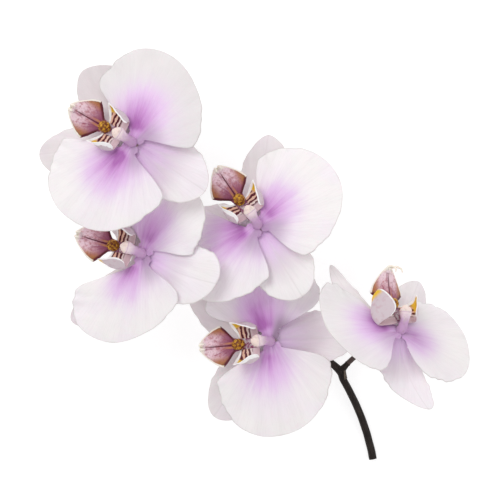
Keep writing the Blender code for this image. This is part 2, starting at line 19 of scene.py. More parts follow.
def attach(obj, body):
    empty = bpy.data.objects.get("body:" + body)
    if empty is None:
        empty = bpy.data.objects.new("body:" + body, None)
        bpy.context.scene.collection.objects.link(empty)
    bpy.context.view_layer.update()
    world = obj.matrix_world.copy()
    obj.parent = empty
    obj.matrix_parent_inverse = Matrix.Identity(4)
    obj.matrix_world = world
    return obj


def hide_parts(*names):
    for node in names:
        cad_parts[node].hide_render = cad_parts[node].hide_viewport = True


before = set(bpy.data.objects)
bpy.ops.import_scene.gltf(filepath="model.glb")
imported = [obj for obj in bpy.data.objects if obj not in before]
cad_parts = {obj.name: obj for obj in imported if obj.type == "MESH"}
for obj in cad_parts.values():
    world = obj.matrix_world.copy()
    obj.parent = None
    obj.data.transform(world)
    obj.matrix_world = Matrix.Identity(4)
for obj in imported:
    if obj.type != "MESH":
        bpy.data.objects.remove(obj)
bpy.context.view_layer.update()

MM = 0.001

# The camera looks straight down on the spray, with +Y up in the picture.
CAMERA_AT = (-1.7, 4.1, 930)
SENSOR = 36
LENS = 129.6
FLOOR_SIZE = 6000
FLOOR_LOOK = {
    "Base Color": (0.4, 0.4, 0.4, 1),
    "Roughness": 0.8,
    "Specular IOR Level": 0.1,
    "Emission Color": (1, 1, 1, 1),
    "Emission Strength": 0.72,
}
SKY_STRENGTH = 0.66
# Soft square lights that face the spray: place, side and power.
LIGHTS = {
    "key": ((-600, 700, 900), 700, 5.6),
    "fill": ((800, -300, 700), 900, 2.6),
}

# Petals and sepals: mesh rows and columns, each with how much they crowd at both ends, and thickness of
# the sheet and of its midline at the foot.
BLADE_ROWS = (56, 0.7)
BLADE_COLUMNS = (40, 0.6)
SHEET_THICKNESS = 0.62
FOOT_THICKNESS = 0.6
BLADE_EDGES = (14, 40)
FOOT_SINK = 2.2
PETAL_COVER = 4.8
SEPAL_COVER = 6.6
COVER_NARROWING = 24
FLAT_FOOT = 0.35
MARGIN_WAVES = 2
LEFT_WAVE_LEAD = 0.37
# Small forms of a blade: the furrow along its middle, pleats that fan out from the foot, its ruffles, and
# the ripples of its outline. The finer waves of each are this share of the main ones.
FURROW_DEPTH = 0.42
FURROW_WIDTH = 0.85
PLEAT_HEIGHT = 0.16
PLEATS = 17
RUFFLE_HEIGHT = 0.3
RUFFLES = 5.3
RIPPLE_DEPTH = 0.32
RIPPLES = 3.7
FINER_WAVES = 0.6
FAN_ORIGIN = 7
# Where the feet stand: distance from the bloom's axis, and place before or behind its face.
FOOT_RADIUS = 3.05
PETAL_LAYER = 0.3
SEPAL_LAYER = -1.7
LOW_LAYER = -3.2
# The mauve flush is full this near to the bloom's axis, and fades out to this distance. On a petal it is a
# wedge, and this share of it reaches the rest of the petal. The sepals take a share of it.
FLUSH_FROM = {"dorsal": 6, "petal": 8, "lateral": 6}
FLUSH_TO = 49
FLUSH_FADING = 2.25
FLUSH_LEAST = 0.3
FLUSH_SHARE = {"dorsal": 0.47, "lateral": 0.14}
# From the first to the second distance the flush evens out to one strength, and the shade grows. A petal's
# dorsal side is in shade too, from the first to the second turn from the middle of the flush.
FOOT_FLUSH = 0.55
FOOT_REACH = (9, 5)
SHADE_REACH = (30, 6)
SIDE_SHADE_REACH = (20, 8)
SIDE_SHADE_TURN = (-15, -50)
# How far the tone of each kind goes from white towards its shade colour, near the bloom's axis and at the
# tips: partly the tissue's own grey tone and partly painted shade.
GREY_AND_SHADE_BY_KIND = {"dorsal": (1.1, 0), "petal": (0.12, 0.12), "lateral": (0.5, 0.5)}
GREY_AND_SHADE_REACH = (14, 36)

# Stem, flower stalks and what joins them.
STEM_RADIUS = 2
STEM_TIP_RADIUS = 1.45
STEM_RINGS = 170
STEM_SIDES = 28
STEM_SAMPLES = 400
STEM_RIDGE = 0.05
CURVE_STEPS = 24
NODE_SWELL = 0.3
NODE_LENGTH = 3.5
STUB_LENGTH = 6
STUB_RADIUS = 1.75
STUB_RINGS = 20
STUB_NARROWING = (0.3, 1)
# Swellings around a stub: height, place and length, the last two as shares of its length.
STUB_SWELLINGS = ((0.35, 0.25, 0.12), (0.2, 0.93, 0.05))
STALK_RADIUS = 1.35
STALK_RINGS = 64
STALK_SIDES = 24
STALK_SINK = 0.3
STALK_HANDLE = 0.35
OVARY_RADIUS = 2.45
OVARY_LENGTH = 13
OVARY_TOP = -0.3
OVARY_FROM = 0.55
OVARY_GROWTH = 0.3
OVARY_FURROWS = 6
OVARY_FURROW_DEPTH = 0.22
BRACT_GRID = (24, 21)
BRACT_LENGTH = 6
BRACT_BELOW = 4.5
BRACT_RISE = (2.2, 3.4)
BRACT_THICKNESS = 0.4
BRACT_WRAP = 72
BRACT_POINT = 0.97
BRACT_LOOK_BACK = 0.02
# A tube's end is rounded off by rings at these angles from its last ring.
CAP_ANGLES = np.radians((18, 40, 65, 90))


@dataclass(frozen=True)
class Blade:
    """A petal or sepal: its outline, how it curves, how it leaves the bloom's centre, and its tone.

    It is greyed all over by one share, partly its own grey tone and partly painted shade, and has painted
    shade near its foot and on a petal's dorsal side by others. The defaults are a petal's.
    """

    around: float
    length: float
    left: float
    right: float
    widest: float = 0.3
    claw: float = 3
    fullness: float = 2
    taper: float = 0.55
    sweep: float = 0
    bend: float = 14
    cup: float = -2
    tilt: float = 4
    layer: float = PETAL_LAYER
    dull: float = 0
    shade: float = 0
    side_shade: float = 0.5
    furrow: float = 0.4
    wave: float = 0.6
    phase: float = 0

    def aside(self, y):
        """Distance from the middle line as a share of the half-width."""
        return np.abs(y) / (0.5 * (self.left + self.right))


SEPAL = dict(widest=0.48, claw=2.2, fullness=0.8, cup=-1.5, tilt=-5, layer=SEPAL_LAYER, furrow=1, wave=0.3)


def sepal(*outline, **changes):
    return Blade(*outline, **{**SEPAL, **changes})


def low_sepal(*outline, **changes):
    return sepal(*outline, layer=LOW_LAYER, **changes)


@dataclass(frozen=True)
class SideLobe:
    """A side lobe of a lip: its bulge at the rear, middle and front, and the share of it that it sinks.

    It is scaled by size about its front foot, and its front corner leans inward by close. Its white rim is
    rim wide.
    """

    bulge: tuple = (4.6, 5.4, 1.8)
    fall: float = 0.2
    size: float = 1
    close: float = 0
    rim: float = 0.8


@dataclass(frozen=True)
class Bloom:
    """One flower: its centre, the lean of its face, its dorsal sepal's direction and its pieces.

    The fields of the lip mean the same as in the solid's source. The flush of the upper and the lower petal
    has a strength, a turn from the petal's middle towards the lip, a spread to both sides, in degrees, and
    a share of the full reach. The third strength is the sepals'.
    """

    centre: tuple
    lean: float
    towards: float
    dorsal: float
    dorsal_sepal: Blade
    petal_upper: Blade
    petal_lower: Blade
    lateral_sepal_upper: Blade
    lateral_sepal_lower: Blade
    lip_around: float = 180
    lip_pitch: float = 0
    lip_roll: float = 0
    lip_back: float = 0
    lip_size: float = 1
    lip_curl: float = 1.4
    curl_lean: float = 0
    lip_rise: float = 0.38
    lip_slope: float = -0.2
    lobes: tuple = (SideLobe(rim=2.2), SideLobe())
    node: float = 0.5
    stub: tuple = (0, 0, 1)
    flush: tuple = (1, 1, 1)
    flush_turn: tuple = (20, 20)
    flush_spread: tuple = (36, 34)
    flush_reach: tuple = (1, 1)


BLADES = ("dorsal_sepal", "petal_upper", "petal_lower", "lateral_sepal_upper", "lateral_sepal_lower")
# The same readings of each flower as its solids have, and its flush.
BLOOMS = {
    "bloom_a": Bloom(
        centre=(-59.3, 56.8, 44), lean=18, towards=150, dorsal=-32, lip_around=183, lip_roll=3,
        lip_back=0.4, node=1, stub=(-0.66, 0.69, 0.3),
        flush=(1.12, 1.3, 1), flush_turn=(20, 13), flush_spread=(38, 31),
        dorsal_sepal=sepal(-2, 40, 15.5, 15.5, taper=0.58, shade=0.22, phase=0.1),
        petal_upper=Blade(88, 43.5, 33, 28.5, fullness=1.65, taper=0.52, sweep=8.8, dull=0.8, phase=0.3),
        petal_lower=Blade(-88, 45.5, 28.5, 34, taper=0.45, sweep=-6, phase=0.7),
        lateral_sepal_upper=sepal(154, 50.5, 13.5, 18.5, taper=0.58, sweep=5, dull=0.45, phase=0.5),
        lateral_sepal_lower=low_sepal(-145, 53.5, 14.5, 12.5, taper=0.53, sweep=-2.3, phase=0.9),
    ),
    "bloom_b": Bloom(
        centre=(2.3, 16.1, 32), lean=20, towards=122, dorsal=-58, lip_around=185, lip_pitch=-3,
        lip_roll=5, node=0.68, stub=(-0.1, 0.92, 0.38),
        flush=(0.95, 1.2, 1), flush_turn=(24, 30), flush_spread=(34, 30), flush_reach=(0.92, 1),
        dorsal_sepal=sepal(0, 38.5, 15.5, 16, widest=0.46, taper=0.5, phase=0.2),
        petal_upper=Blade(83, 44, 33.5, 25, fullness=1.15, taper=0.53, sweep=5.6),
        petal_lower=Blade(-74, 44.5, 22, 35, taper=0.52, sweep=-3.4, tilt=-3, phase=0.4),
        lateral_sepal_upper=sepal(147, 54, 12.5, 14, widest=0.46, taper=0.64, tilt=-9.5, phase=0.6),
        lateral_sepal_lower=low_sepal(
            -125.5, 40, 14, 13.5, taper=0.57, sweep=2, tilt=-2, bend=8, dull=-0.5, phase=0.8,
        ),
    ),
    "bloom_c": Bloom(
        centre=(-55.1, 2.1, 31), lean=22, towards=172, dorsal=-8, lip_around=175, lip_pitch=-6,
        lip_roll=11, node=0.91, stub=(-0.93, 0.12, 0.24),
        lobes=(SideLobe((5, 6.2, 3.4), 0.3, 1.1, 2.8), SideLobe((4.2, 5.7, 3.4), 0.26, 1.05)),
        flush=(0.85, 0.9, 0.75), flush_turn=(12, 30), flush_spread=(32, 26),
        dorsal_sepal=sepal(
            -22, 37.5, 16, 15.5, widest=0.62, fullness=0.95, taper=0.51, sweep=6.2, tilt=3, dull=-0.4,
        ),
        petal_upper=Blade(65, 38, 25.5, 22, taper=0.42, sweep=-1.7, side_shade=0.2, phase=0.15),
        petal_lower=Blade(
            -85, 42.5, 23, 35.5, widest=0.43, fullness=2.2, taper=0.59, sweep=-15, phase=0.55,
        ),
        lateral_sepal_upper=sepal(120, 42, 14.5, 14.5, phase=0.05),
        lateral_sepal_lower=low_sepal(-122.5, 56, 12.5, 11, widest=0.58, fullness=1.14, sweep=-14, tilt=-8),
    ),
    "bloom_d": Bloom(
        centre=(8.9, -41.8, 23), lean=9, towards=180, dorsal=-3, lip_around=191, lip_pitch=-5,
        lip_roll=9, lip_back=-0.4, node=0.425, stub=(-0.97, 0.05, 0.28),
        flush=(1.2, 0.8, 0.7), flush_turn=(13, 17), flush_spread=(30, 42),
        dorsal_sepal=sepal(
            6.5, 39, 14, 12.5, fullness=0.66, taper=0.51, sweep=-0.9, tilt=-8, shade=0.3, phase=0.45,
        ),
        petal_upper=Blade(100, 42.5, 31.5, 27.5, widest=0.38, taper=0.52, side_shade=0.9, phase=0.25),
        petal_lower=Blade(
            -76, 45, 28, 31, fullness=1.3, taper=0.47, sweep=-4.5, dull=0.15, side_shade=0.2, phase=0.65,
        ),
        lateral_sepal_upper=sepal(148.5, 51.5, 15.5, 15, widest=0.44, phase=0.85),
        lateral_sepal_lower=low_sepal(-127, 49, 15.5, 13.5, widest=0.44, taper=0.54, sweep=1.1, phase=0.3),
    ),
    "bloom_e": Bloom(
        centre=(72.2, -35.8, 43), lean=44, towards=62, dorsal=-66, lip_around=175, lip_pitch=-10,
        lip_roll=10, lip_back=-1.5, lip_size=0.92, lip_curl=3, lip_rise=0.52, lip_slope=-0.38,
        curl_lean=62, node=0.316, stub=(0.66, 0.72, 0.2),
        lobes=(SideLobe((7.6, 8.2, 4.8), 0.65, 1.33, 2.5), SideLobe((5.2, 6.8, 4.6), 0.45, 1.17)),
        flush=(0.64, 1.1, 0.95), flush_turn=(-12, 33), flush_spread=(40, 32), flush_reach=(0.72, 0.9),
        dorsal_sepal=sepal(
            -14, 34, 10, 13.5, widest=0.55, fullness=1.7, sweep=17.3, tilt=-24, dull=-0.5, shade=0.2,
            phase=0.2,
        ),
        petal_upper=Blade(
            69.5, 37.5, 26, 22.5, widest=0.43, fullness=0.55, taper=0.42, cup=-2.6, tilt=-1, layer=-0.8,
            dull=0.3, shade=0.36, side_shade=0.1, phase=0.5,
        ),
        petal_lower=Blade(
            -87.5, 33.5, 21.5, 33, widest=0.51, taper=0.66, sweep=-11, tilt=0, dull=0.6, shade=0.1,
            side_shade=0.35,
        ),
        lateral_sepal_upper=low_sepal(137, 45, 10, 9, widest=0.43, taper=0.66, tilt=-2),
        lateral_sepal_lower=sepal(-128, 40, 9, 8, widest=0.6, fullness=1.5, sweep=-27, tilt=0, phase=0.1),
    ),
}

# The stem's middle line from its cut end, in world millimetres.
STEM_LINE = (
    (61.7, -103.7, 1.8),
    (60.2, -96.5, 1.8),
    (56.2, -83.5, 3.2),
    (51, -71.5, 5),
    (46.3, -62.6, 6.3),
    (44.5, -58, 6.9),
    (37.3, -51.7, 7.6),
    (30.1, -47.1, 8),
    (22.9, -38.9, 8),
    (14.7, -25.6, 8),
    (5.5, -12.8, 8),
    (-5.3, 0, 8),
    (-16, 11.3, 8.3),
    (-25.8, 21.5, 8.8),
)

# The lip's floor, from its claw to its tip: distance outward and half-width.
LIP_OUTLINE = (
    (3.9, 2.2),
    (9.2, 2.6),
    (14.5, 2.9),
    (18.6, 3.6),
    (21.8, 7.6),
    (24.8, 10.8),
    (28.2, 9.2),
    (31.2, 6.4),
    (33.2, 3.9),
    (34.3, 1.9),
)
LIP_ROWS = 92
LIP_COLUMNS = (48, 0.5)
LIP_ROUNDING = (-0.5, -0.25, 0, 0.25, 0.5)
LIP_CLAW_THICKNESS = 1.4
LIP_EDGE_THICKNESS = 0.6
LIP_EDGES = (12, 60)
LIP_FLOOR = 1.9
LIP_RISE = 0.05
# The throat is a shallow valley. Past the waist the lip rises faster, its halves slope back from a ridge
# along the middle, and its tip curls to the front.
LIP_WAIST = (17, 22)
THROAT_SLOPE = 0.1
LIP_TIP_CURL = 1.8
LIP_CURL_FROM = 27
LIP_CURL_LENGTH = 6.5
MIDLOBE_FROM = 19
MIDLOBE_GROWTH = 4
# Small forms of the middle lobe: its halves swell beside a furrow, its rim turns up, and it has fine ribs.
MIDLOBE_SWELL = 0.6
MIDLOBE_FURROW = 0.4
MIDLOBE_FURROW_WIDTH = 0.35
MIDLOBE_FURROW_REACH = (14, 20)
MIDLOBE_RIM = 0.5
MIDLOBE_RIM_REACH = (24, 27)
MIDLOBE_RIB = 0.06
MIDLOBE_RIBS = 2.6
CALLUS_AT = 16
CALLUS_RAISE = 1.5
CALLUS_RADII = (3.3, 2.9, 2.8)
CALLUS_RINGS = 30
CALLUS_SIDES = 36
CALLUS_LUMP = 0.16
CALLUS_CLEFT = 0.4
CALLUS_CLEFT_WIDTH = 0.22
# A side lobe: its foot and its free margin, each from the rear to the front corner.
LOBE_FOOT = ((5.6, 2.2, 2), (15.6, 2.5, 2.6))
LOBE_MARGIN = ((5.4, 4.3, 8.6), (17.2, 10.2, 10.4))
LOBE_ARCH = 0.8
LOBE_THICKNESS = 0.6
LOBE_EDGES = (14, 14)
LOBE_STEPS = (40, 0.6)
LOBE_CORNER = 0.12
LOBE_FLARE = 0.9
LOBE_WAVE = 0.25
LOBE_WAVES = 9
LOBE_DROOP = 0.4
LOBE_FRONT_FLARE = 1.5
LOBE_FRONT = (0.8, 1)
LOBE_FRONT_RISE = (0.1, 0.6)
TENDRIL_START = 32.6
TENDRIL_TURN = 215
TENDRIL_APART = 0.7
TENDRIL_SPREAD = 0.5
TENDRIL_RADII = (1, 0.45)
TENDRIL_RINGS = 36
TENDRIL_SIDES = 10

# The column leans over the lip: its middle line in the bloom's frame, and its radius at each point.
COLUMN_LINE = ((0, 0, 0.25), (-0.4, 0, 2.4), (-2.6, 0, 5.8), (-6, 0, 8.8), (-8.4, 0, 10))
COLUMN_RADII = (2.6, 2.4, 2.5, 3.1, 2.2)
COLUMN_RINGS = 56
COLUMN_SIDES = 36
COLUMN_END_FROM = 0.8
COLUMN_END_LENGTH = 0.215
COLUMN_BREADTH = 0.06
COLUMN_FLATNESS = 0.14
COLUMN_WAIST = 0.14
COLUMN_WAIST_AT = 0.45
COLUMN_WAIST_LENGTH = 0.16
COLUMN_LUMP = 0.13
CAP_FROM = 0.76
CAP_GROOVE = 0.3
CAP_GROOVE_WIDTH = 0.016
CAP_SWELL = 0.25
STIGMA_AT = 0.7
STIGMA_LENGTH = 0.09
STIGMA_DEPTH = 1.1

# Colours as they look in even light; some of them are laid as painted shade or painted highlight.
PETAL_WHITE = (0.915, 0.872, 0.872)
PETAL_SHADE = (0.75, 0.72, 0.72)
SEPAL_WHITE = (0.9, 0.855, 0.86)
SEPAL_SHADE = (0.66, 0.605, 0.615)
BLUSH_WHITE = (0.935, 0.845, 0.925)
PAINTED_EDGE_SHADE = (0.66, 0.62, 0.58)
FOOT_SHADE = (0.3, 0.21, 0.3)
FLUSH_STOPS = (
    (0, (0.86, 0.77, 0.875)),
    (0.35, (0.79, 0.58, 0.83)),
    (0.65, (0.66, 0.35, 0.7)),
    (1, (0.45, 0.15, 0.475)),
)
LIP_MAUVE = (0.5, 0.23, 0.3)
LIP_PALE = (0.82, 0.62, 0.68)
LIP_RED = (0.46, 0.17, 0.16)
LIP_PLUM = (0.26, 0.05, 0.13)
LIP_DEEP = (0.22, 0.05, 0.08)
LIP_BROWN = (0.42, 0.16, 0.05)
LIP_OLIVE = (0.26, 0.15, 0.025)
LIP_DARK_AND_SHADOW = (0.11, 0.01, 0.022)
LIP_CREAM = (0.92, 0.84, 0.74)
LIP_ORANGE = (0.6, 0.27, 0.13)
LOBE_WHITE = (0.84, 0.76, 0.78)
LOBE_PINK = (0.8, 0.5, 0.38)
LOBE_OUTER = (0.62, 0.53, 0.57)
LOBE_SHADE = (0.42, 0.29, 0.31)
LOBE_RIM = (0.96, 0.93, 0.94)
LOBE_GOLD = (0.8, 0.5, 0.03)
CALLUS_LIGHT = (0.9, 0.62, 0.12)
CALLUS_GOLD = (0.66, 0.34, 0.03)
CALLUS_BROWN = (0.16, 0.035, 0.01)
COLUMN_WHITE = (0.84, 0.7, 0.74)
COLUMN_MAUVE = (0.56, 0.34, 0.56)
COLUMN_CREAM = (0.9, 0.74, 0.68)
STALK_BROWN = (0.06, 0.034, 0.028)
STALK_GREEN = (0.22, 0.2, 0.1)
OVARY_PINK = (0.42, 0.3, 0.28)
STEM_BROWN = (0.013, 0.01, 0.009)
STEM_LIGHT = (0.036, 0.028, 0.024)
BRACT_BROWN = (0.12, 0.085, 0.05)
CUT_PALE = (0.3, 0.24, 0.15)

# Flesh lets a little light through: how much, how far and how glossy. Wood is nearly matt.
FLESH = {
    "Subsurface Weight": 0.25,
    "Subsurface Radius": (1, 0.75, 0.85),
    "Subsurface Scale": 1.6 * MM,
    "IOR": 1.4,
    "Specular IOR Level": 0.35,
}
WOOD = {"Specular IOR Level": 0.12}


def smooth(value, low, high):
    """0 below low, 1 above high and smooth between them; it falls instead where low is above high."""
    t = np.clip((value - low) / (high - low), 0, 1)
    return t * t * (3 - 2 * t)


def bell(value, width):
    """1 at zero, falling smoothly to both sides."""
    return np.exp(-(value / width) ** 2)


def between(low, high, share):
    return low + (high - low) * share


def thinned(side, along, side_power, along_power):
    """1 inside a sheet and 0 at its sides and its tip. It falls nearer to them where the powers are high."""
    return np.sqrt((1 - np.abs(side) ** side_power) * (1 - along ** along_power))


def sine(turns):
    return np.sin(2 * pi * turns)


def around(count):
    """The angles of a tube's sides."""
    return 2 * pi * (np.arange(count) + 0.5) / count


def unit(vectors):
    return vectors / np.linalg.norm(vectors, axis=-1, keepdims=True)


def distances(line):
    """Distance along a line to each of its points."""
    return np.concatenate([[0], np.cumsum(np.linalg.norm(np.diff(line, axis=0), axis=1))])


def evenly(line, count):
    """The same line with points at equal distances."""
    lengths = distances(line)
    wanted = np.linspace(0, lengths[-1], count)
    return np.stack([np.interp(wanted, lengths, line[:, k]) for k in range(line.shape[1])], axis=-1)


def smooth_line(points, count):
    """Evenly spaced points on a smooth curve through the given ones."""
    points = np.array(points, float)
    padded = np.vstack([2 * points[0] - points[1], points, 2 * points[-1] - points[-2]])
    fine = []
    for i in range(len(points) - 1):
        p0, p1, p2, p3 = padded[i : i + 4]
        for t in np.linspace(0, 1, CURVE_STEPS, endpoint=False):
            slope = (p2 - p0) * t + (2 * p0 - 5 * p1 + 4 * p2 - p3) * t ** 2
            fine.append(p1 + 0.5 * (slope + (3 * p1 - p0 - 3 * p2 + p3) * t ** 3))
    fine.append(points[-1])
    return evenly(np.array(fine), count)


def shares(count):
    """Even shares from 0 to 1, one for each ring of a tube."""
    return np.linspace(0, 1, count)[:, None]


def crowded(low, high, count, crowding):
    """Steps from low to high, closer together at both ends."""
    steps = np.linspace(0, 1, count + 1)
    steps = (1 - crowding) * steps + crowding * 0.5 * (1 - np.cos(pi * steps))
    return between(low, high, steps)


def add(name, data):
    thing = bpy.data.objects.new(name, data)
    bpy.context.scene.collection.objects.link(thing)
    return thing


def rotation(degrees, axis):
    return Matrix.Rotation(radians(degrees), 4, axis)


def moved(points, place):
    matrix = np.array(place)
    return points @ matrix[:3, :3].T + matrix[:3, 3]


@dataclass
class Skin:
    """A closed surface: points in millimetres, faces, and named values for each point."""

    points: np.ndarray
    faces: np.ndarray
    marks: dict
    slot: int = 0


def sheet(front, back, marks, slot=0):
    """The closed surface between two grids, with its back marked as under."""
    shape = front.shape[:2]
    count = shape[0] * shape[1]
    grid = np.arange(count).reshape(shape)
    quads = np.stack([grid[:-1, :-1], grid[1:, :-1], grid[1:, 1:], grid[:-1, 1:]], axis=-1).reshape(-1, 4)
    rim = np.concatenate([grid[0], grid[1:, -1], grid[-1, -2::-1], grid[-2:0:-1, 0]])
    after = np.roll(rim, -1)
    walls = np.stack([rim, after, after + count, rim + count], axis=-1)
    faces = np.vstack([quads, quads[:, [0, 3, 2, 1]] + count, walls])
    values = {name: np.tile(np.broadcast_to(mark, shape).ravel(), 2) for name, mark in marks.items()}
    values["under"] = np.repeat((0, 1), count)
    return Skin(np.vstack([front.reshape(-1, 3), back.reshape(-1, 3)]), faces, values, slot)


def cap(point, way, radius, length, bulge, angles):
    """The rings that round off one end of a tube."""
    rings = []
    for rise, wide in zip(np.sin(angles), np.cos(angles)):
        rings.append((point + way * bulge * radius.mean() * rise, way, radius * wide, length))
    return rings


def pipe(line, radii, sides, upright=(0, 0, 1), ends=None, bulge=(0.1, 0.1), slot=0):
    """A closed tube with rounded ends: radii has one value for each ring, or for each ring and side.

    Its directions at the two ends are given where they are known.
    """
    radii = np.broadcast_to(np.reshape(radii, (len(line), -1)), (len(line), sides))
    ahead = np.gradient(line, axis=0)
    if ends is not None:
        ahead[0], ahead[-1] = ends
    ahead = unit(ahead)
    lengths = distances(line)
    rings = cap(line[0], ahead[0], radii[0], 0, bulge[0], -CAP_ANGLES[::-1])
    rings += zip(line, ahead, radii, lengths)
    rings += cap(line[-1], ahead[-1], radii[-1], lengths[-1], bulge[1], CAP_ANGLES)
    angles = around(sides)
    normal = np.array(upright)
    points, along = [], []
    for point, way, radius, length in rings:
        normal = unit(normal - way * normal.dot(way))
        spokes = np.outer(np.cos(angles), normal) + np.outer(np.sin(angles), np.cross(way, normal))
        points.append(point + radius[:, None] * spokes)
        along.append(length)
    a = np.arange(len(rings) * sides).reshape(-1, sides)[:-1]
    b = np.roll(a, -1, axis=1)
    faces = np.stack([a, b, b + sides, a + sides], axis=-1).reshape(-1, 4)
    marks = {
        "along": np.repeat(along, sides),
        "share": np.repeat(np.array(along) / lengths[-1], sides),
        "top": np.tile(np.cos(angles), len(rings)),
    }
    return Skin(np.vstack(points), faces, marks, slot)


def make_piece(node, slot, skins, materials, place=None):
    """The fine piece that stands for a solid, from its surfaces."""
    points = np.vstack([skin.points for skin in skins])
    if place is not None:
        points = moved(points, place)
    points[:, 2] = np.maximum(points[:, 2], 0)
    faces, slots, first = [], [], 0
    for skin in skins:
        faces += (skin.faces + first).tolist()
        slots += [skin.slot] * len(skin.faces)
        first += len(skin.points)
    mesh = bpy.data.meshes.new(f"fine_{node}")
    mesh.from_pydata((points * MM).tolist(), [], faces)
    mesh.polygons.foreach_set("material_index", slots)
    for mark in sorted({mark for skin in skins for mark in skin.marks}):
        values = np.concatenate([skin.marks.get(mark, np.zeros(len(skin.points))) for skin in skins])
        mesh.attributes.new(mark, "FLOAT", "POINT").data.foreach_set("value", values.astype(np.float32))
    work = bmesh.new()
    work.from_mesh(mesh)
    bmesh.ops.remove_doubles(work, verts=work.verts, dist=0.003 * MM)
    bmesh.ops.recalc_face_normals(work, faces=work.faces)
    work.to_mesh(mesh)
    work.free()
    mesh.shade_smooth()
    for material in materials[slot]:
        mesh.materials.append(material)
    piece = add(f"fine_{node}", mesh)
    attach(piece, "root")
    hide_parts(node)


def bloom_frame(bloom):
    """The bloom's frame in the world, in millimetres."""
    lean, towards, dorsal = (radians(a) for a in (bloom.lean, bloom.towards, bloom.dorsal))
    front = Vector((sin(lean) * cos(towards), sin(lean) * sin(towards), cos(lean)))
    along = Vector((cos(dorsal), sin(dorsal), 0))
    along.z = -(front.x * along.x + front.y * along.y) / front.z
    along.normalize()
    axes = Matrix((along, front.cross(along), front)).transposed().to_4x4()
    axes.translation = bloom.centre
    return axes


def blade_frame(blade):
    """A blade's frame in its bloom's frame, in millimetres."""
    foot = Matrix.Translation((FOOT_RADIUS, 0, blade.layer))
    return rotation(blade.around, "Z") @ foot @ rotation(-blade.tilt, "Y")


def lip_frame(bloom):
    """The lip's frame in its bloom's frame: x outward along the lip, z to the front."""
    turned = Matrix.Translation((0, 0, -bloom.lip_back)) @ rotation(bloom.lip_around, "Z")
    return turned @ rotation(-bloom.lip_pitch, "Y") @ rotation(bloom.lip_roll, "X")


def half_width(share, width, blade):
    """Half-width at a share of the length: an even opening from the claw, then a rounded tip."""
    inner = np.clip(share / blade.widest, 0, 1)
    opening = between(blade.claw, width, (1 - (1 - inner) ** 2) ** blade.fullness)
    outer = np.clip((share - blade.widest) / (1 - blade.widest), 0, 1)
    closing = width * (1 - outer ** 2) ** blade.taper
    return np.where(share <= blade.widest, opening, closing)


def blade_width(blade, share, side):
    """Half-width on one side of a blade. The claws are wide here, to cover the bloom's centre."""
    width = half_width(share, np.where(side > 0, blade.left, blade.right), blade)
    cover = PETAL_COVER if blade.layer > SEPAL_LAYER else SEPAL_COVER
    width = np.maximum(width, cover - COVER_NARROWING * np.abs(share))
    turns = RIPPLES * share + 2 * blade.phase + np.where(side > 0, LEFT_WAVE_LEAD, 0)
    ripple = sine(turns) + FINER_WAVES * sine(2.3 * turns)
    return width + RIPPLE_DEPTH * ripple * np.sin(pi * np.clip(share, 0, 1))


def blade_surface(blade, share, y):
    """Middle surface at a share of the length and a distance aside, which is above 0 on the left."""
    bend = radians(blade.bend)
    x = blade.length * np.sin(bend * share) / bend
    z = -blade.length * (1 - np.cos(bend * share)) / bend
    turns = MARGIN_WAVES * share + blade.phase + np.where(y > 0, LEFT_WAVE_LEAD, 0)
    aside = blade.aside(y)
    ramp = np.sin(np.clip(share / FLAT_FOOT, 0, 1) * pi / 2)
    z = z + ramp * (blade.cup * aside ** 2 + blade.wave * aside ** 3 * sine(turns))
    return np.stack([x, y + blade.sweep * share ** 2, z], axis=-1)


def blade_relief(blade, share, y, fan):
    """Height of a blade's small forms over its middle surface."""
    along = np.clip(share, 0, 1)
    furrow = FURROW_DEPTH * bell(y, FURROW_WIDTH) * smooth(along, blade.furrow, 0.3 * blade.furrow)
    turn = 2 * pi * blade.phase
    pleats = np.cos(PLEATS * fan + 1.7 * turn) + FINER_WAVES * np.cos(0.43 * PLEATS * fan - turn)
    ruffle = np.sin(2 * pi * RUFFLES * along + 3 * turn + 1.3 * np.sign(y))
    ruffle = ruffle + FINER_WAVES * np.sin(2 * pi * 1.73 * RUFFLES * along + turn)
    waves = PLEAT_HEIGHT * pleats + RUFFLE_HEIGHT * ruffle * blade.aside(y) ** 5
    return waves * np.sin(pi * np.clip(along / 0.9, 0, 1)) - furrow


def blade_tones(bloom, blade, kind, reach, turned):
    """How strong the flush and the shade are, by the distance and the turn from the bloom's axis."""
    which = 1 if blade.around < 0 and kind == "petal" else 0
    flush_to = FLUSH_TO * bloom.flush_reach[which]
    fade = np.clip((flush_to - reach) / (flush_to - FLUSH_FROM[kind]), 0, 1) ** FLUSH_FADING
    shade = blade.shade * smooth(reach, *SHADE_REACH)
    if kind != "petal":
        return FLUSH_SHARE[kind] * bloom.flush[2] * fade, shade
    past = turned * (1 - 2 * which) - bloom.flush_turn[which]
    wedge = bell(past, bloom.flush_spread[which])
    level = bloom.flush[which] * between(FLUSH_LEAST, 1, wedge)
    level = between(level, FOOT_FLUSH, smooth(reach, *FOOT_REACH))
    side_shade = blade.side_shade * smooth(past, *SIDE_SHADE_TURN) * smooth(reach, *SIDE_SHADE_REACH)
    return level * fade, shade * wedge + side_shade


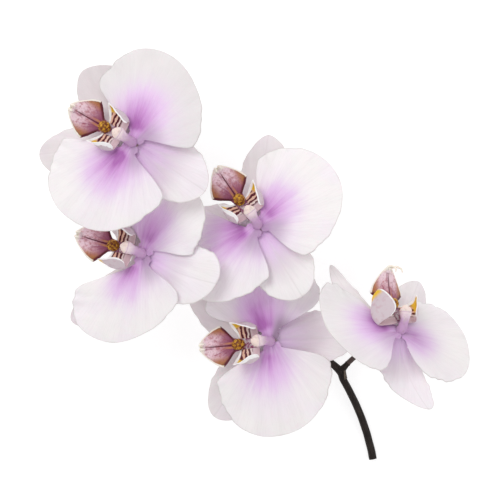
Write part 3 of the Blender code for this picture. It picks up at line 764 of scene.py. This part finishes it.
def blade_skin(bloom, part):
    blade = getattr(bloom, part)
    rows = crowded(-FOOT_SINK / blade.length, 1, *BLADE_ROWS)
    share, side = np.meshgrid(rows, crowded(-1, 1, *BLADE_COLUMNS), indexing="ij")
    width = blade_width(blade, share, side)
    middle = blade_surface(blade, share, side * width)
    fan = np.arctan2(middle[..., 1], middle[..., 0] + FAN_ORIGIN)
    middle[..., 2] += blade_relief(blade, share, side * width, fan)
    along = np.clip(share, 0, 1)
    thickness = SHEET_THICKNESS + FOOT_THICKNESS * (1 - along) ** 2 * (1 - side ** 2)
    thickness = thickness * thinned(side, along, *BLADE_EDGES)
    half = thickness[..., None] * np.array([0, 0, 0.5])
    x, y = middle[..., 0] + FOOT_RADIUS, middle[..., 1]
    reach = np.hypot(x, y)
    kind = part.split("_")[0]
    flush, shade = blade_tones(bloom, blade, kind, reach, np.degrees(np.arctan2(y, x)))
    marks = {
        "fan": fan,
        "reach": reach,
        "inset": np.minimum((1 - np.abs(side)) * width, (1 - along) * blade.length),
        "off": np.abs(side) * width,
        "flush": flush,
        "shade": shade,
        "dull": blade.dull + between(*GREY_AND_SHADE_BY_KIND[kind], smooth(reach, *GREY_AND_SHADE_REACH)),
        "seed": 10 * blade.phase + blade.around / 36,
    }
    world = bloom_frame(bloom) @ blade_frame(blade)
    front = moved(middle + half, world)
    front[..., 2] = np.maximum(front[..., 2], SHEET_THICKNESS)
    return sheet(front, moved(middle - half, world), marks)


def lip_height(bloom, x, y):
    """Height of the lip's floor at a place outward and aside."""
    rise = LIP_RISE * (x - LIP_OUTLINE[0][0]) + bloom.lip_rise * np.maximum(x - MIDLOBE_FROM, 0)
    curl = LIP_TIP_CURL * np.clip((x - LIP_CURL_FROM) / LIP_CURL_LENGTH, 0, 1) ** 2
    slope = np.interp(x, LIP_WAIST, (THROAT_SLOPE, bloom.lip_slope))
    return LIP_FLOOR + rise + slope * np.abs(y) + curl


def lip_floor(bloom):
    reach, width = np.array(LIP_OUTLINE).T
    rows = np.linspace(reach[0], reach[-1], LIP_ROWS)
    wide = np.mean([np.interp(rows + step, reach, width) for step in LIP_ROUNDING], axis=0)[:, None]
    x, side = np.meshgrid(rows, crowded(-1, 1, *LIP_COLUMNS), indexing="ij")
    y = side * wide
    swell = MIDLOBE_SWELL * np.sin(pi * np.abs(side)) + MIDLOBE_RIB * np.cos(MIDLOBE_RIBS * y)
    furrow = MIDLOBE_FURROW * bell(y, MIDLOBE_FURROW_WIDTH) * smooth(x, *MIDLOBE_FURROW_REACH)
    rim = MIDLOBE_RIM * np.abs(side) ** 8 * smooth(x, *MIDLOBE_RIM_REACH)
    z = lip_height(bloom, x, y) + swell * smooth(x, MIDLOBE_FROM, MIDLOBE_FROM + MIDLOBE_GROWTH)
    z = z - furrow + rim
    share = (x - reach[0]) / (reach[-1] - reach[0])
    half = 0.5 * between(LIP_EDGE_THICKNESS, LIP_CLAW_THICKNESS, 1 - share)
    half = half * thinned(side, share, *LIP_EDGES)
    inset = np.minimum((1 - np.abs(side)) * wide, reach[-1] - x)
    marks = {"out": x, "off": np.abs(y), "inset": inset, "side": np.sign(y)}
    return sheet(np.stack([x, y, z + half], axis=-1), np.stack([x, y, z - half], axis=-1), marks)


def side_lobe(bloom, hand):
    """A wing beside the column, curved in like a shell: hand is +1 on the left and -1 on the right."""
    lobe = bloom.lobes[0 if hand > 0 else 1]
    steps = crowded(0, 1, *LOBE_STEPS)
    along, up = np.meshgrid(steps, steps, indexing="ij")
    foot, margin = (np.array(a) + along[..., None] * np.subtract(b, a) for a, b in (LOBE_FOOT, LOBE_MARGIN))
    margin[..., 1] -= lobe.close * along
    drawn = up * (1 - LOBE_CORNER * np.abs(2 * along - 1) ** 6)
    middle = foot + drawn[..., None] * (margin - foot)
    bulge = np.polyval(np.polyfit((0, 0.5, 1), lobe.bulge, 2), along) * np.sin(pi * drawn)
    middle += bulge[..., None] * np.array([0, 1, -lobe.fall])
    # The rim rolls outward and the front edge forward, and the margin is a little wavy.
    middle[..., 0] += LOBE_FRONT_FLARE * smooth(along, *LOBE_FRONT) * smooth(up, *LOBE_FRONT_RISE)
    middle[..., 1] += up ** 8 * (LOBE_FLARE + LOBE_WAVE * np.sin(LOBE_WAVES * along + hand))
    middle[..., 2] += LOBE_ARCH * np.sin(pi * along) * drawn - LOBE_DROOP * up ** 20
    middle = LOBE_FOOT[1] + lobe.size * (middle - LOBE_FOOT[1])
    normal = unit(np.cross(np.gradient(middle, axis=0), np.gradient(middle, axis=1)))
    half = normal * (0.5 * LOBE_THICKNESS * thinned(2 * along - 1, up, *LOBE_EDGES))[..., None]
    flip = np.array([1, hand, 1])
    rises = np.linalg.norm(np.diff(middle, axis=1, append=middle[:, -1:]), axis=-1)
    below_rim = np.cumsum(rises[:, ::-1], axis=1)[:, ::-1]
    marks = {"out": along, "up": up, "inset": below_rim / lobe.rim, "seed": hand}
    return sheet((middle + half) * flip, (middle - half) * flip, marks, slot=1)


def callus(bloom):
    """The knob between the side lobes: two lumpy halves with a cleft between them."""
    centre = np.array([CALLUS_AT, 0, lip_height(bloom, CALLUS_AT, 0) + CALLUS_RAISE])
    heights = np.cos(np.linspace(pi, 0, CALLUS_RINGS + 2))[1:-1, None]
    angles = around(CALLUS_SIDES)
    cleft = CALLUS_CLEFT * bell(np.sin(angles), CALLUS_CLEFT_WIDTH) * smooth(heights, -0.2, 0.8)
    lumps = CALLUS_LUMP * np.cos(7 * angles) * np.cos(6 * heights)
    radii = np.sqrt(1 - heights ** 2) * (CALLUS_RADII[0] + lumps - cleft)
    line = centre + heights * (0, 0, CALLUS_RADII[2])
    knob = pipe(line, radii, CALLUS_SIDES, upright=(1, 0, 0), slot=2)
    knob.points[:, 1] *= CALLUS_RADII[1] / CALLUS_RADII[0]
    return knob


def tendril(bloom, hand):
    """A thin curl at the lip's tip, which may lean to the lip's right."""
    start = np.array([TENDRIL_START, 0, lip_height(bloom, TENDRIL_START, 0)])
    angles = np.radians(np.linspace(0, TENDRIL_TURN, TENDRIL_RINGS))
    share = angles / angles[-1]
    spread = hand * (TENDRIL_APART + TENDRIL_SPREAD * bloom.lip_curl * share)
    ahead = bloom.lip_curl * np.sin(angles)
    rise = bloom.lip_curl * (1 - np.cos(angles))
    lean = radians(bloom.curl_lean)
    line = start + np.stack([ahead, spread - rise * sin(lean), rise * cos(lean)], axis=-1)
    return pipe(line, between(*TENDRIL_RADII, share), TENDRIL_SIDES, bulge=(1, 1), slot=3)


def column_skin(bloom):
    """The column: waisted, flattened and lumpy, with a groove below its cap and a hollow behind it."""
    line = smooth_line(COLUMN_LINE, COLUMN_RINGS)
    roll = radians(bloom.lip_roll)
    line = np.stack([line[:, 0], line[:, 2] * sin(roll), line[:, 2] * cos(roll)], axis=-1)
    share = shares(COLUMN_RINGS)
    angles = around(COLUMN_SIDES)
    top = np.cos(angles)
    radii = np.interp(share, np.linspace(0, 1, len(COLUMN_RADII)), COLUMN_RADII)
    radii = radii * np.sqrt(1 - np.clip((share - COLUMN_END_FROM) / COLUMN_END_LENGTH, 0, 1) ** 2)
    radii = radii * (1 + COLUMN_BREADTH * np.sin(angles) ** 2 - COLUMN_FLATNESS * top ** 2)
    radii = radii * (1 - COLUMN_WAIST * bell(share - COLUMN_WAIST_AT, COLUMN_WAIST_LENGTH))
    lumps = COLUMN_LUMP * np.cos(3 * angles + 7 * share) * np.sin(14 * share + 1)
    groove = CAP_GROOVE * bell(share - CAP_FROM, CAP_GROOVE_WIDTH) * smooth(top, -0.4, 0.3)
    swell = CAP_SWELL * smooth(share, CAP_FROM, 0.84) * smooth(share, 1, 0.9) * smooth(top, -0.2, 0.5)
    hollow = STIGMA_DEPTH * bell(share - STIGMA_AT, STIGMA_LENGTH) * smooth(top, -0.55, -0.95)
    ends = ((0, 0, 1), line[-1] - line[-2])
    radii = radii + lumps - groove + swell - hollow
    return pipe(line, radii, COLUMN_SIDES, upright=(1, 0, 0), ends=ends, bulge=(0, 0.4))


def stem_point(share):
    """Point on the stem's middle line at a share of its length."""
    return smooth_line(STEM_LINE, STEM_SAMPLES + 1)[round(share * STEM_SAMPLES)]


def stub_end(bloom):
    direction = unit(np.array(bloom.stub))
    return stem_point(bloom.node) + STUB_LENGTH * direction, direction


def stalk_skin(bloom):
    """A flower stalk from its stub on the stem to the back of the bloom, furrowed at the ovary."""
    end, direction = stub_end(bloom)
    axes = np.array(bloom_frame(bloom))
    front = axes[:3, 2]
    start = end - STALK_SINK * direction
    top = axes[:3, 3] + OVARY_TOP * front
    reach = np.linalg.norm(top - start)
    handles = (start, start + STALK_HANDLE * reach * direction, top - OVARY_LENGTH * front, top)
    t = shares(2 * STALK_RINGS)
    weights = ((1 - t) ** 3, 3 * (1 - t) ** 2 * t, 3 * (1 - t) * t ** 2, t ** 3)
    line = evenly(sum(w * h for w, h in zip(weights, handles)), STALK_RINGS)
    share = shares(STALK_RINGS)
    swell = smooth(share, OVARY_FROM, OVARY_FROM + OVARY_GROWTH)
    furrows = OVARY_FURROW_DEPTH * np.cos(OVARY_FURROWS * around(STALK_SIDES) + 3 * share)
    radii = STALK_RADIUS + (OVARY_RADIUS - STALK_RADIUS + furrows) * swell
    return pipe(line, radii, STALK_SIDES, ends=(direction, front), bulge=(0.1, 0))


def stub_skin(bloom):
    """The short stub that a flower stalk leaves from, with a collar at its end."""
    end, _ = stub_end(bloom)
    start = stem_point(bloom.node)
    share = shares(STUB_RINGS)
    radii = between(STUB_RADIUS, STALK_RADIUS, smooth(share, *STUB_NARROWING))
    for height, at, length in STUB_SWELLINGS:
        radii = radii + height * bell(share - at, length)
    return pipe(start + share * (end - start), radii, STALK_SIDES, bulge=(0.3, 0.15))


def bract_skin(bloom):
    """A small pointed scale that hugs the stem below a flower stalk."""
    node = stem_point(bloom.node)
    ahead = unit(node - stem_point(bloom.node - BRACT_LOOK_BACK))
    away = unit(np.array(bloom.stub) - ahead * np.dot(bloom.stub, ahead))
    rows, columns = BRACT_GRID
    along, side = np.meshgrid(np.linspace(0, 1, rows), np.linspace(-1, 1, columns), indexing="ij")
    angle = side * radians(BRACT_WRAP) * np.sqrt(1 - BRACT_POINT * along)
    outward = np.cos(angle)[..., None] * away + np.sin(angle)[..., None] * np.cross(ahead, away)
    base = node + (along * BRACT_LENGTH - BRACT_BELOW)[..., None] * ahead
    rise = between(*BRACT_RISE, along ** 1.4) - 0.2 * np.abs(side) ** 3
    thickness = BRACT_THICKNESS * (1 - 0.6 * along) * (1 - 0.7 * np.abs(side) ** 6)
    front = base + rise[..., None] * outward
    back = base + (rise - thickness)[..., None] * outward
    marks = {"along": along * BRACT_LENGTH, "share": along, "top": side}
    return sheet(front, back, marks, slot=1)


def stem_skins():
    """The stem with its cut end marked, and the stubs and scales on it."""
    line = smooth_line(STEM_LINE, STEM_RINGS)
    share = shares(STEM_RINGS)
    angles = around(STEM_SIDES)
    radii = between(STEM_RADIUS, STEM_TIP_RADIUS, share)
    for bloom in BLOOMS.values():
        radii = radii + NODE_SWELL * bell((share - bloom.node) * distances(line)[-1], NODE_LENGTH)
    ridges = np.cos(7 * angles) + np.cos(3 * angles + 20 * share) * np.sin(90 * share)
    axis = pipe(line, radii + STEM_RIDGE * ridges, STEM_SIDES, bulge=(0.05, 0.8))
    axis.marks["cut"] = np.zeros(len(axis.points))
    axis.marks["cut"][: len(CAP_ANGLES) * STEM_SIDES] = 1
    return [axis] + [shape(bloom) for bloom in BLOOMS.values() for shape in (stub_skin, bract_skin)]


class Graph:
    """One material, built node by node. A value can be a socket, a number or a colour."""

    def __init__(self, name, colour=None):
        self.material = bpy.data.materials.new(name)
        self.material.use_nodes = True
        self.tree = self.material.node_tree
        self.shader = self.tree.nodes["Principled BSDF"]
        self.colour = colour

    def feed(self, socket, value):
        if isinstance(value, bpy.types.NodeSocket):
            self.tree.links.new(value, socket)
        elif isinstance(value, tuple):
            socket.default_value = (*value, 1)
        else:
            socket.default_value = value

    def node(self, kind, output, inputs, **settings):
        """One output of a new node with these settings and inputs."""
        node = self.tree.nodes.new(f"ShaderNode{kind}")
        for name, value in settings.items():
            setattr(node, name, value)
        for key, value in inputs.items():
            self.feed(node.inputs[key], value)
        return node.outputs[output]

    def marks(self, names):
        return [self.mark(name) for name in names.split()]

    def mark(self, name):
        return self.node("Attribute", "Fac", {}, attribute_name=name)

    def maths(self, operation, *values):
        return self.node("Math", "Value", dict(enumerate(values)), operation=operation)

    def times(self, *values):
        return reduce(lambda a, b: self.maths("MULTIPLY", a, b), values)

    def plus(self, *values):
        return reduce(lambda a, b: self.maths("ADD", a, b), values)

    def swing(self, noise, size):
        """The noise about its middle, scaled to a size."""
        return self.times(self.plus(noise, -0.5), size)

    def step(self, value, low, high):
        """0 at low, 1 at high and smooth between them."""
        inputs = {"Value": value, "From Min": low, "From Max": high}
        return self.node("MapRange", "Result", inputs, interpolation_type="SMOOTHSTEP")

    def blend(self, factor, a, b):
        return self.node("Mix", 2, {0: factor, 6: a, 7: b}, data_type="RGBA")

    def coat(self, colour, *factors):
        """Lay a colour over what is there. A factor may be a step: a value, its low and its high."""
        factors = [self.step(*value) if isinstance(value, tuple) else value for value in factors]
        self.colour = self.blend(self.times(*factors), self.colour, colour)

    def point(self, x, y, z):
        return self.node("CombineXYZ", "Vector", {0: x, 1: y, 2: z})

    def place(self):
        """Place on the object in millimetres."""
        at = self.node("TexCoord", "Object", {})
        return self.node("VectorMath", "Vector", {0: at, "Scale": 1 / MM}, operation="SCALE")

    def noise(self, scale, detail=2, roughness=0.5, at=None):
        """Soft noise over the object, or over other coordinates where they are given."""
        at = self.place() if at is None else at
        inputs = {"Vector": at, "Scale": scale, "Detail": detail, "Roughness": roughness}
        return self.node("TexNoise", "Fac", inputs)

    def cells(self, scale):
        return self.node("TexVoronoi", "Distance", {"Vector": self.place(), "Scale": scale})

    def ramp(self, factor, stops):
        output = self.node("ValToRGB", "Color", {"Fac": factor})
        elements = output.node.color_ramp.elements
        while len(elements) < len(stops):
            elements.new(0.5)
        for element, (position, colour) in zip(elements, stops):
            element.position = position
            element.color = (*colour, 1)
        return output

    def fix(self, values):
        for name, value in values.items():
            self.shader.inputs[name].default_value = value
        return self.material

    def finish(self, grain, roughness, *bumps, fixed=FLESH):
        """The material in its colour, with a roughness that starts at one value and grows with the grain.

        Each bump has a height, a depth in millimetres and a strength, and lies over the one before it.
        """
        least, growth = roughness
        shown = {"Base Color": self.colour, "Roughness": self.plus(least, self.times(grain, growth))}
        normal = {}
        for height, depth, strength in bumps:
            inputs = {"Height": height, "Distance": depth * MM, "Strength": strength, **normal}
            normal = {"Normal": self.node("Bump", "Normal", inputs)}
        for name, value in {**shown, **normal}.items():
            self.feed(self.shader.inputs[name], value)
        return self.fix(fixed)


def blade_material(name, white, shade, crease_shade):
    """Waxy white tissue with fine veins that fan out, a streaked mauve flush, and painted shade greying its
    margin and foot.
    """
    g = Graph(name, white)
    fan, reach, seed, under, inset = g.marks("fan reach seed under inset")

    def streaks(across, along, detail=2):
        return g.noise(1, detail, at=g.point(g.times(fan, across), g.times(reach, along), seed))

    rays, hairs, broad = streaks(7, 0.03, 3), streaks(34, 0.05), streaks(3.2, 0.05)
    vein = g.step(g.maths("ABSOLUTE", g.plus(hairs, -0.5)), 0.05, 0)
    clouds = g.noise(0.05)
    greyed_and_shaded = g.plus(g.mark("dull"), g.swing(clouds, 0.5), g.swing(rays, 0.8))
    g.coat(BLUSH_WHITE, (clouds, 0.4, 0.6), 0.6)
    # The shade colour greys the tissue: partly its own grey tone, partly painted shade.
    g.coat(shade, g.maths("MAXIMUM", greyed_and_shaded, 0))
    # Painted shade along the margin, where the blade curves away.
    g.coat(PAINTED_EDGE_SHADE, (inset, 0.9, 0.2), (reach, 10, 20), 0.5)
    streaked = g.times(g.mark("flush"), g.plus(0.31, g.times(rays, 0.9), g.times(broad, 0.5)))
    streaked = g.times(streaked, g.plus(1, g.times(under, -0.6)))
    tinted = g.plus(streaked, g.times(vein, streaked, 0.16))
    g.coat(g.ramp(tinted, FLUSH_STOPS), (tinted, 0, 0.34))
    g.coat(SEPAL_SHADE, vein, 0.11)
    # Painted shade along the middle crease of a sepal.
    g.coat(SEPAL_SHADE, (g.mark("off"), 0.55, 0.1), (reach, 14, 32), crease_shade)
    # Painted shade near the foot and on a petal's dorsal side.
    g.coat(FOOT_SHADE, g.maths("MINIMUM", g.mark("shade"), 1))
    grain = g.noise(1.8, 3)
    folds = g.plus(hairs, g.times(rays, 1.5))
    return g.finish(grain, (0.42, 0.16), (folds, 0.5, 0.3), (grain, 0.1, 0.25))


def midlobe_material():
    """The lip's middle lobe: mauve, golden brown at its corners, with painted shadow on its inner edges and
    a cream rim, partly a painted highlight.
    """
    g = Graph("lip_midlobe", LIP_MAUVE)
    out, off, inset = g.marks("out off inset")
    ahead = g.plus(out, -17)
    mottle = g.noise(0.5, 5, 0.68)
    speckle = g.noise(1.3, 3, 0.6)
    turned = g.maths("ARCTAN2", off, ahead)
    rays = g.noise(1, 3, at=g.point(g.times(turned, 9), g.times(ahead, 0.1), g.mark("side")))
    # Paler towards the tip: partly the lobe's own colour and partly a painted highlight.
    g.coat(LIP_PALE, (g.plus(ahead, g.swing(mottle, 18)), 5, 14))
    g.coat(LIP_RED, (mottle, 0.5, 0.36), 0.55)
    g.coat(LIP_PLUM, (rays, 0.5, 0.66), 0.5)
    g.coat(LIP_PLUM, (ahead, 8.5, 2.5), 0.85)
    shifted = g.plus(off, g.swing(mottle, 5))
    g.coat(LIP_BROWN, (shifted, 4.6, 8.2), 0.9)
    g.coat(LIP_OLIVE, (shifted, 7.8, 10.6), 0.8)
    g.coat(LIP_DEEP, (speckle, 0.56, 0.68), 0.45)
    # Painted shadow along the inner edges, a dark line inside the rim, the cream tip, and the cream rim,
    # which is partly a painted highlight.
    g.coat(LIP_DARK_AND_SHADOW, (inset, 2.2, 0.9), (out, 25.4, 24), (out, 17, 19))
    g.coat(LIP_DARK_AND_SHADOW, (inset, 1.5, 0.9), (out, 24.4, 25.4), (mottle, 0.42, 0.55), 0.7)
    g.coat(LIP_CREAM, (g.plus(out, g.times(mottle, 2)), 32.5, 34.5), 0.85)
    g.coat(LIP_CREAM, (g.plus(inset, g.times(mottle, 0.6)), 1.5, 1.1), (out, 24.2, 25))
    # Two ridges beside the dark middle line, the blotched claw and the pale underside.
    g.coat(LIP_ORANGE, (off, 0.5, 0.75), (off, 1.9, 1.3), (out, 25.5, 19.5))
    g.coat(LIP_DARK_AND_SHADOW, (off, 0.45, 0.15), (out, 18, 20), (out, 33, 29), 0.9)
    g.coat(g.blend(g.step(mottle, 0.4, 0.56), LOBE_OUTER, LIP_PLUM), (out, 17.6, 16.4))
    g.coat(LOBE_WHITE, g.mark("under"), 0.75)
    grain = g.noise(2.2, 3)
    return g.finish(grain, (0.3, 0.2), (g.plus(rays, mottle), 0.6, 0.6), (grain, 0.12, 0.35))


def side_lobe_material():
    """A side lobe: pale outside, dark bars inside, a golden front corner, a white margin, and painted shade
    low outside and at the rear inside.
    """
    g = Graph("lip_side_lobe", LOBE_WHITE)
    along, up, under, seed = g.marks("out up under seed")
    wander = g.noise(0.45, 3)
    turned = g.plus(g.times(along, 5), g.times(up, up, 2.2), g.times(wander, 0.9), g.times(seed, 0.2))
    wave = g.maths("SINE", g.times(turned, 2 * pi))
    bars = g.times(g.step(wave, -0.25, 0.1), g.step(g.plus(up, g.times(wander, 0.5)), 0.76, 0.64))
    g.coat(LOBE_PINK, (along, 0.3, 0.75))
    # Mauve at the rear of the inside: partly its own colour and partly painted shade.
    g.coat(LIP_MAUVE, (along, 0.5, 0.2), 0.5)
    g.coat(LIP_DARK_AND_SHADOW, bars, (along, 0.3, 0.42), (along, 0.95, 0.9))
    g.coat(LOBE_GOLD, (g.plus(along, g.times(wander, 0.2)), 0.56, 0.74), (up, 0.36, 0.5))
    inside, g.colour = g.colour, LOBE_OUTER
    # Darker low on the belly outside: painted shade.
    g.coat(LOBE_SHADE, (g.plus(up, g.times(wander, 0.3)), 0.75, 0.3))
    g.coat(LIP_MAUVE, (wander, 0.48, 0.7), 0.3)
    g.coat(LOBE_GOLD, (along, 0.82, 0.94), (up, 0.15, 0.4), (up, 1, 0.9))
    g.colour = g.blend(under, inside, g.colour)
    band = g.plus(g.mark("inset"), g.swing(wander, 0.8))
    g.coat(LOBE_RIM, (band, 1.1, 0.8), (along, 1, 0.9))
    g.coat(LOBE_RIM, (along, 0.9, 0.94), g.plus(1, g.times(under, -1)))
    grain = g.noise(2, 3)
    return g.finish(grain, (0.34, 0.16), (wander, 0.5, 0.4), (grain, 0.12, 0.3))


def callus_material():
    """The warty golden knob, flecked with red brown."""
    g = Graph("lip_callus", CALLUS_GOLD)
    warts = g.cells(0.85)
    flecks = g.noise(0.75, 4, 0.6)
    g.coat(CALLUS_BROWN, (flecks, 0.5, 0.58))
    g.coat(CALLUS_BROWN, (warts, 0.35, 0.7), 0.75)
    g.coat(CALLUS_LIGHT, (flecks, 0.4, 0.3), 0.7)
    return g.finish(flecks, (0.28, 0.25), (warts, 0.8, -0.8))


def tendril_material():
    """The lip's thin curls: mauve at the foot, pale at the end."""
    g = Graph("lip_tendril", LIP_PALE)
    streak = g.noise(0.9, 3)
    g.coat(LIP_CREAM, (g.plus(g.mark("share"), g.times(streak, 0.3)), 0.1, 0.4))
    return g.finish(streak, (0.32, 0.15), (streak, 0.15, 0.3))


def column_material():
    """The column: pinkish white, mauve at its foot, with a warmer cap and painted shade under it and in its
    hollow.
    """
    g = Graph("column", COLUMN_WHITE)
    share, top = g.marks("share top")
    clouds = g.noise(0.45, 4, 0.6)
    wandered = g.plus(share, g.swing(clouds, 0.35))
    g.coat(COLUMN_MAUVE, (wandered, 0.72, 0.35))
    g.coat(COLUMN_CREAM, (wandered, CAP_FROM - 0.08, CAP_FROM + 0.12))
    g.coat(LOBE_SHADE, (clouds, 0.52, 0.66), 0.35)
    # Painted shade on the underside and in the hollow under the cap.
    g.coat(LIP_DEEP, (top, -0.3, -0.8), (share, 0.45, 0.6), (share, 0.97, 0.86))
    g.coat(COLUMN_MAUVE, (g.maths("ABSOLUTE", g.plus(share, -CAP_FROM)), 0.025, 0.008), 0.4)
    grain = g.noise(1.6, 3)
    return g.finish(grain, (0.3, 0.16), (clouds, 0.6, 0.5), (grain, 0.12, 0.3))


def stalk_material():
    """A flower stalk: brown at the stem, greener outward and pinkish at the ovary, with fine lines."""
    g = Graph("stalk", STALK_BROWN)
    share, top, along = g.marks("share top along")
    clouds = g.noise(0.25, 3)
    lines = g.noise(1, 3, at=g.point(g.times(top, 6), g.times(along, 0.12), 0))
    wandered = g.plus(share, g.swing(clouds, 0.3))
    g.coat(STALK_GREEN, (wandered, 0.12, 0.5))
    g.coat(OVARY_PINK, (wandered, 0.5, 0.9))
    g.coat(STALK_BROWN, (lines, 0.5, 0.65), 0.4)
    return g.finish(clouds, (0.38, 0.2), (lines, 0.3, 0.35), fixed={})


def stem_material():
    """The stem's dark brown skin with lengthwise lines and pale flecks, and its paler cut end."""
    g = Graph("stem", STEM_BROWN)
    along, top = g.marks("along top")
    lines = g.noise(1, 4, 0.6, at=g.point(g.times(top, 5), g.times(along, 0.1), 0))
    flecks = g.noise(1.1, 4, 0.65)
    g.coat(STEM_LIGHT, (lines, 0.35, 0.7))
    g.coat(BRACT_BROWN, (flecks, 0.62, 0.72), 0.5)
    fibres = g.step(g.cells(2.2), 0.2, 0.5)
    g.coat(g.blend(fibres, CUT_PALE, STEM_LIGHT), g.mark("cut"))
    return g.finish(flecks, (0.42, 0.22), (lines, 0.35, 0.5), (flecks, 0.12, 0.3), fixed=WOOD)


def bract_material():
    """A dry scale: brown, lined lengthwise and paler at its point."""
    g = Graph("bract", STEM_LIGHT)
    share, top = g.marks("share top")
    lines = g.noise(1, 3, at=g.point(g.times(top, 9), g.times(share, 0.8), 0))
    g.coat(BRACT_BROWN, (lines, 0.4, 0.65))
    g.coat(CUT_PALE, (share, 0.6, 1))
    return g.finish(lines, (0.5, 0.25), (lines, 0.3, 0.5), fixed={})


def make_flower(name, bloom, materials):
    for part in BLADES:
        kind = "petal" if part.startswith("petal") else "sepal"
        make_piece(f"{name}_{part}", kind, [blade_skin(bloom, part)], materials)
    axes = bloom_frame(bloom)
    pairs = [shape(bloom, hand) for shape in (side_lobe, tendril) for hand in (1, -1)]
    lip_place = axes @ lip_frame(bloom) @ Matrix.Scale(bloom.lip_size, 4)
    make_piece(f"{name}_lip", "lip", [lip_floor(bloom), callus(bloom), *pairs], materials, lip_place)
    column_place = axes @ rotation(bloom.lip_around - 180, "Z")
    make_piece(f"{name}_column", "column", [column_skin(bloom)], materials, column_place)
    make_piece(f"{name}_stalk", "stalk", [stalk_skin(bloom)], materials)


def make_floor():
    mesh = bpy.data.meshes.new("floor")
    h = 0.5 * FLOOR_SIZE * MM
    mesh.from_pydata([(-h, -h, 0), (h, -h, 0), (h, h, 0), (-h, h, 0)], [], [(0, 1, 2, 3)])
    mesh.materials.append(Graph("floor").fix(FLOOR_LOOK))
    floor = add("floor", mesh)


def make_studio():
    scene = bpy.context.scene
    make_floor()
    world = bpy.data.worlds.new("studio")
    world.use_nodes = True
    sky = world.node_tree.nodes["Background"]
    sky.inputs["Color"].default_value = (1, 1, 1, 1)
    sky.inputs["Strength"].default_value = SKY_STRENGTH
    scene.world = world
    for name, (at, side, power) in LIGHTS.items():
        light = bpy.data.lights.new(name, "AREA")
        light.size = side * MM
        light.energy = power
        lamp = add(name, light)
        lamp.location = Vector(at) * MM
        lamp.rotation_euler = (-Vector(at)).to_track_quat("-Z", "Y").to_euler()
    scene.view_settings.view_transform = "Standard"
    lens = bpy.data.cameras.new("camera")
    lens.sensor_width = SENSOR
    lens.lens = LENS
    camera = add("camera", lens)
    camera.location = Vector(CAMERA_AT) * MM
    scene.camera = camera


def main():
    materials = {
        "petal": [blade_material("petal", PETAL_WHITE, PETAL_SHADE, crease_shade=0)],
        "sepal": [blade_material("sepal", SEPAL_WHITE, SEPAL_SHADE, crease_shade=0.28)],
        "lip": [midlobe_material(), side_lobe_material(), callus_material(), tendril_material()],
        "column": [column_material()],
        "stalk": [stalk_material()],
        "stem": [stem_material(), bract_material()],
    }
    for name, bloom in BLOOMS.items():
        make_flower(name, bloom, materials)
    make_piece("stem", "stem", stem_skins(), materials)
    make_studio()


main()
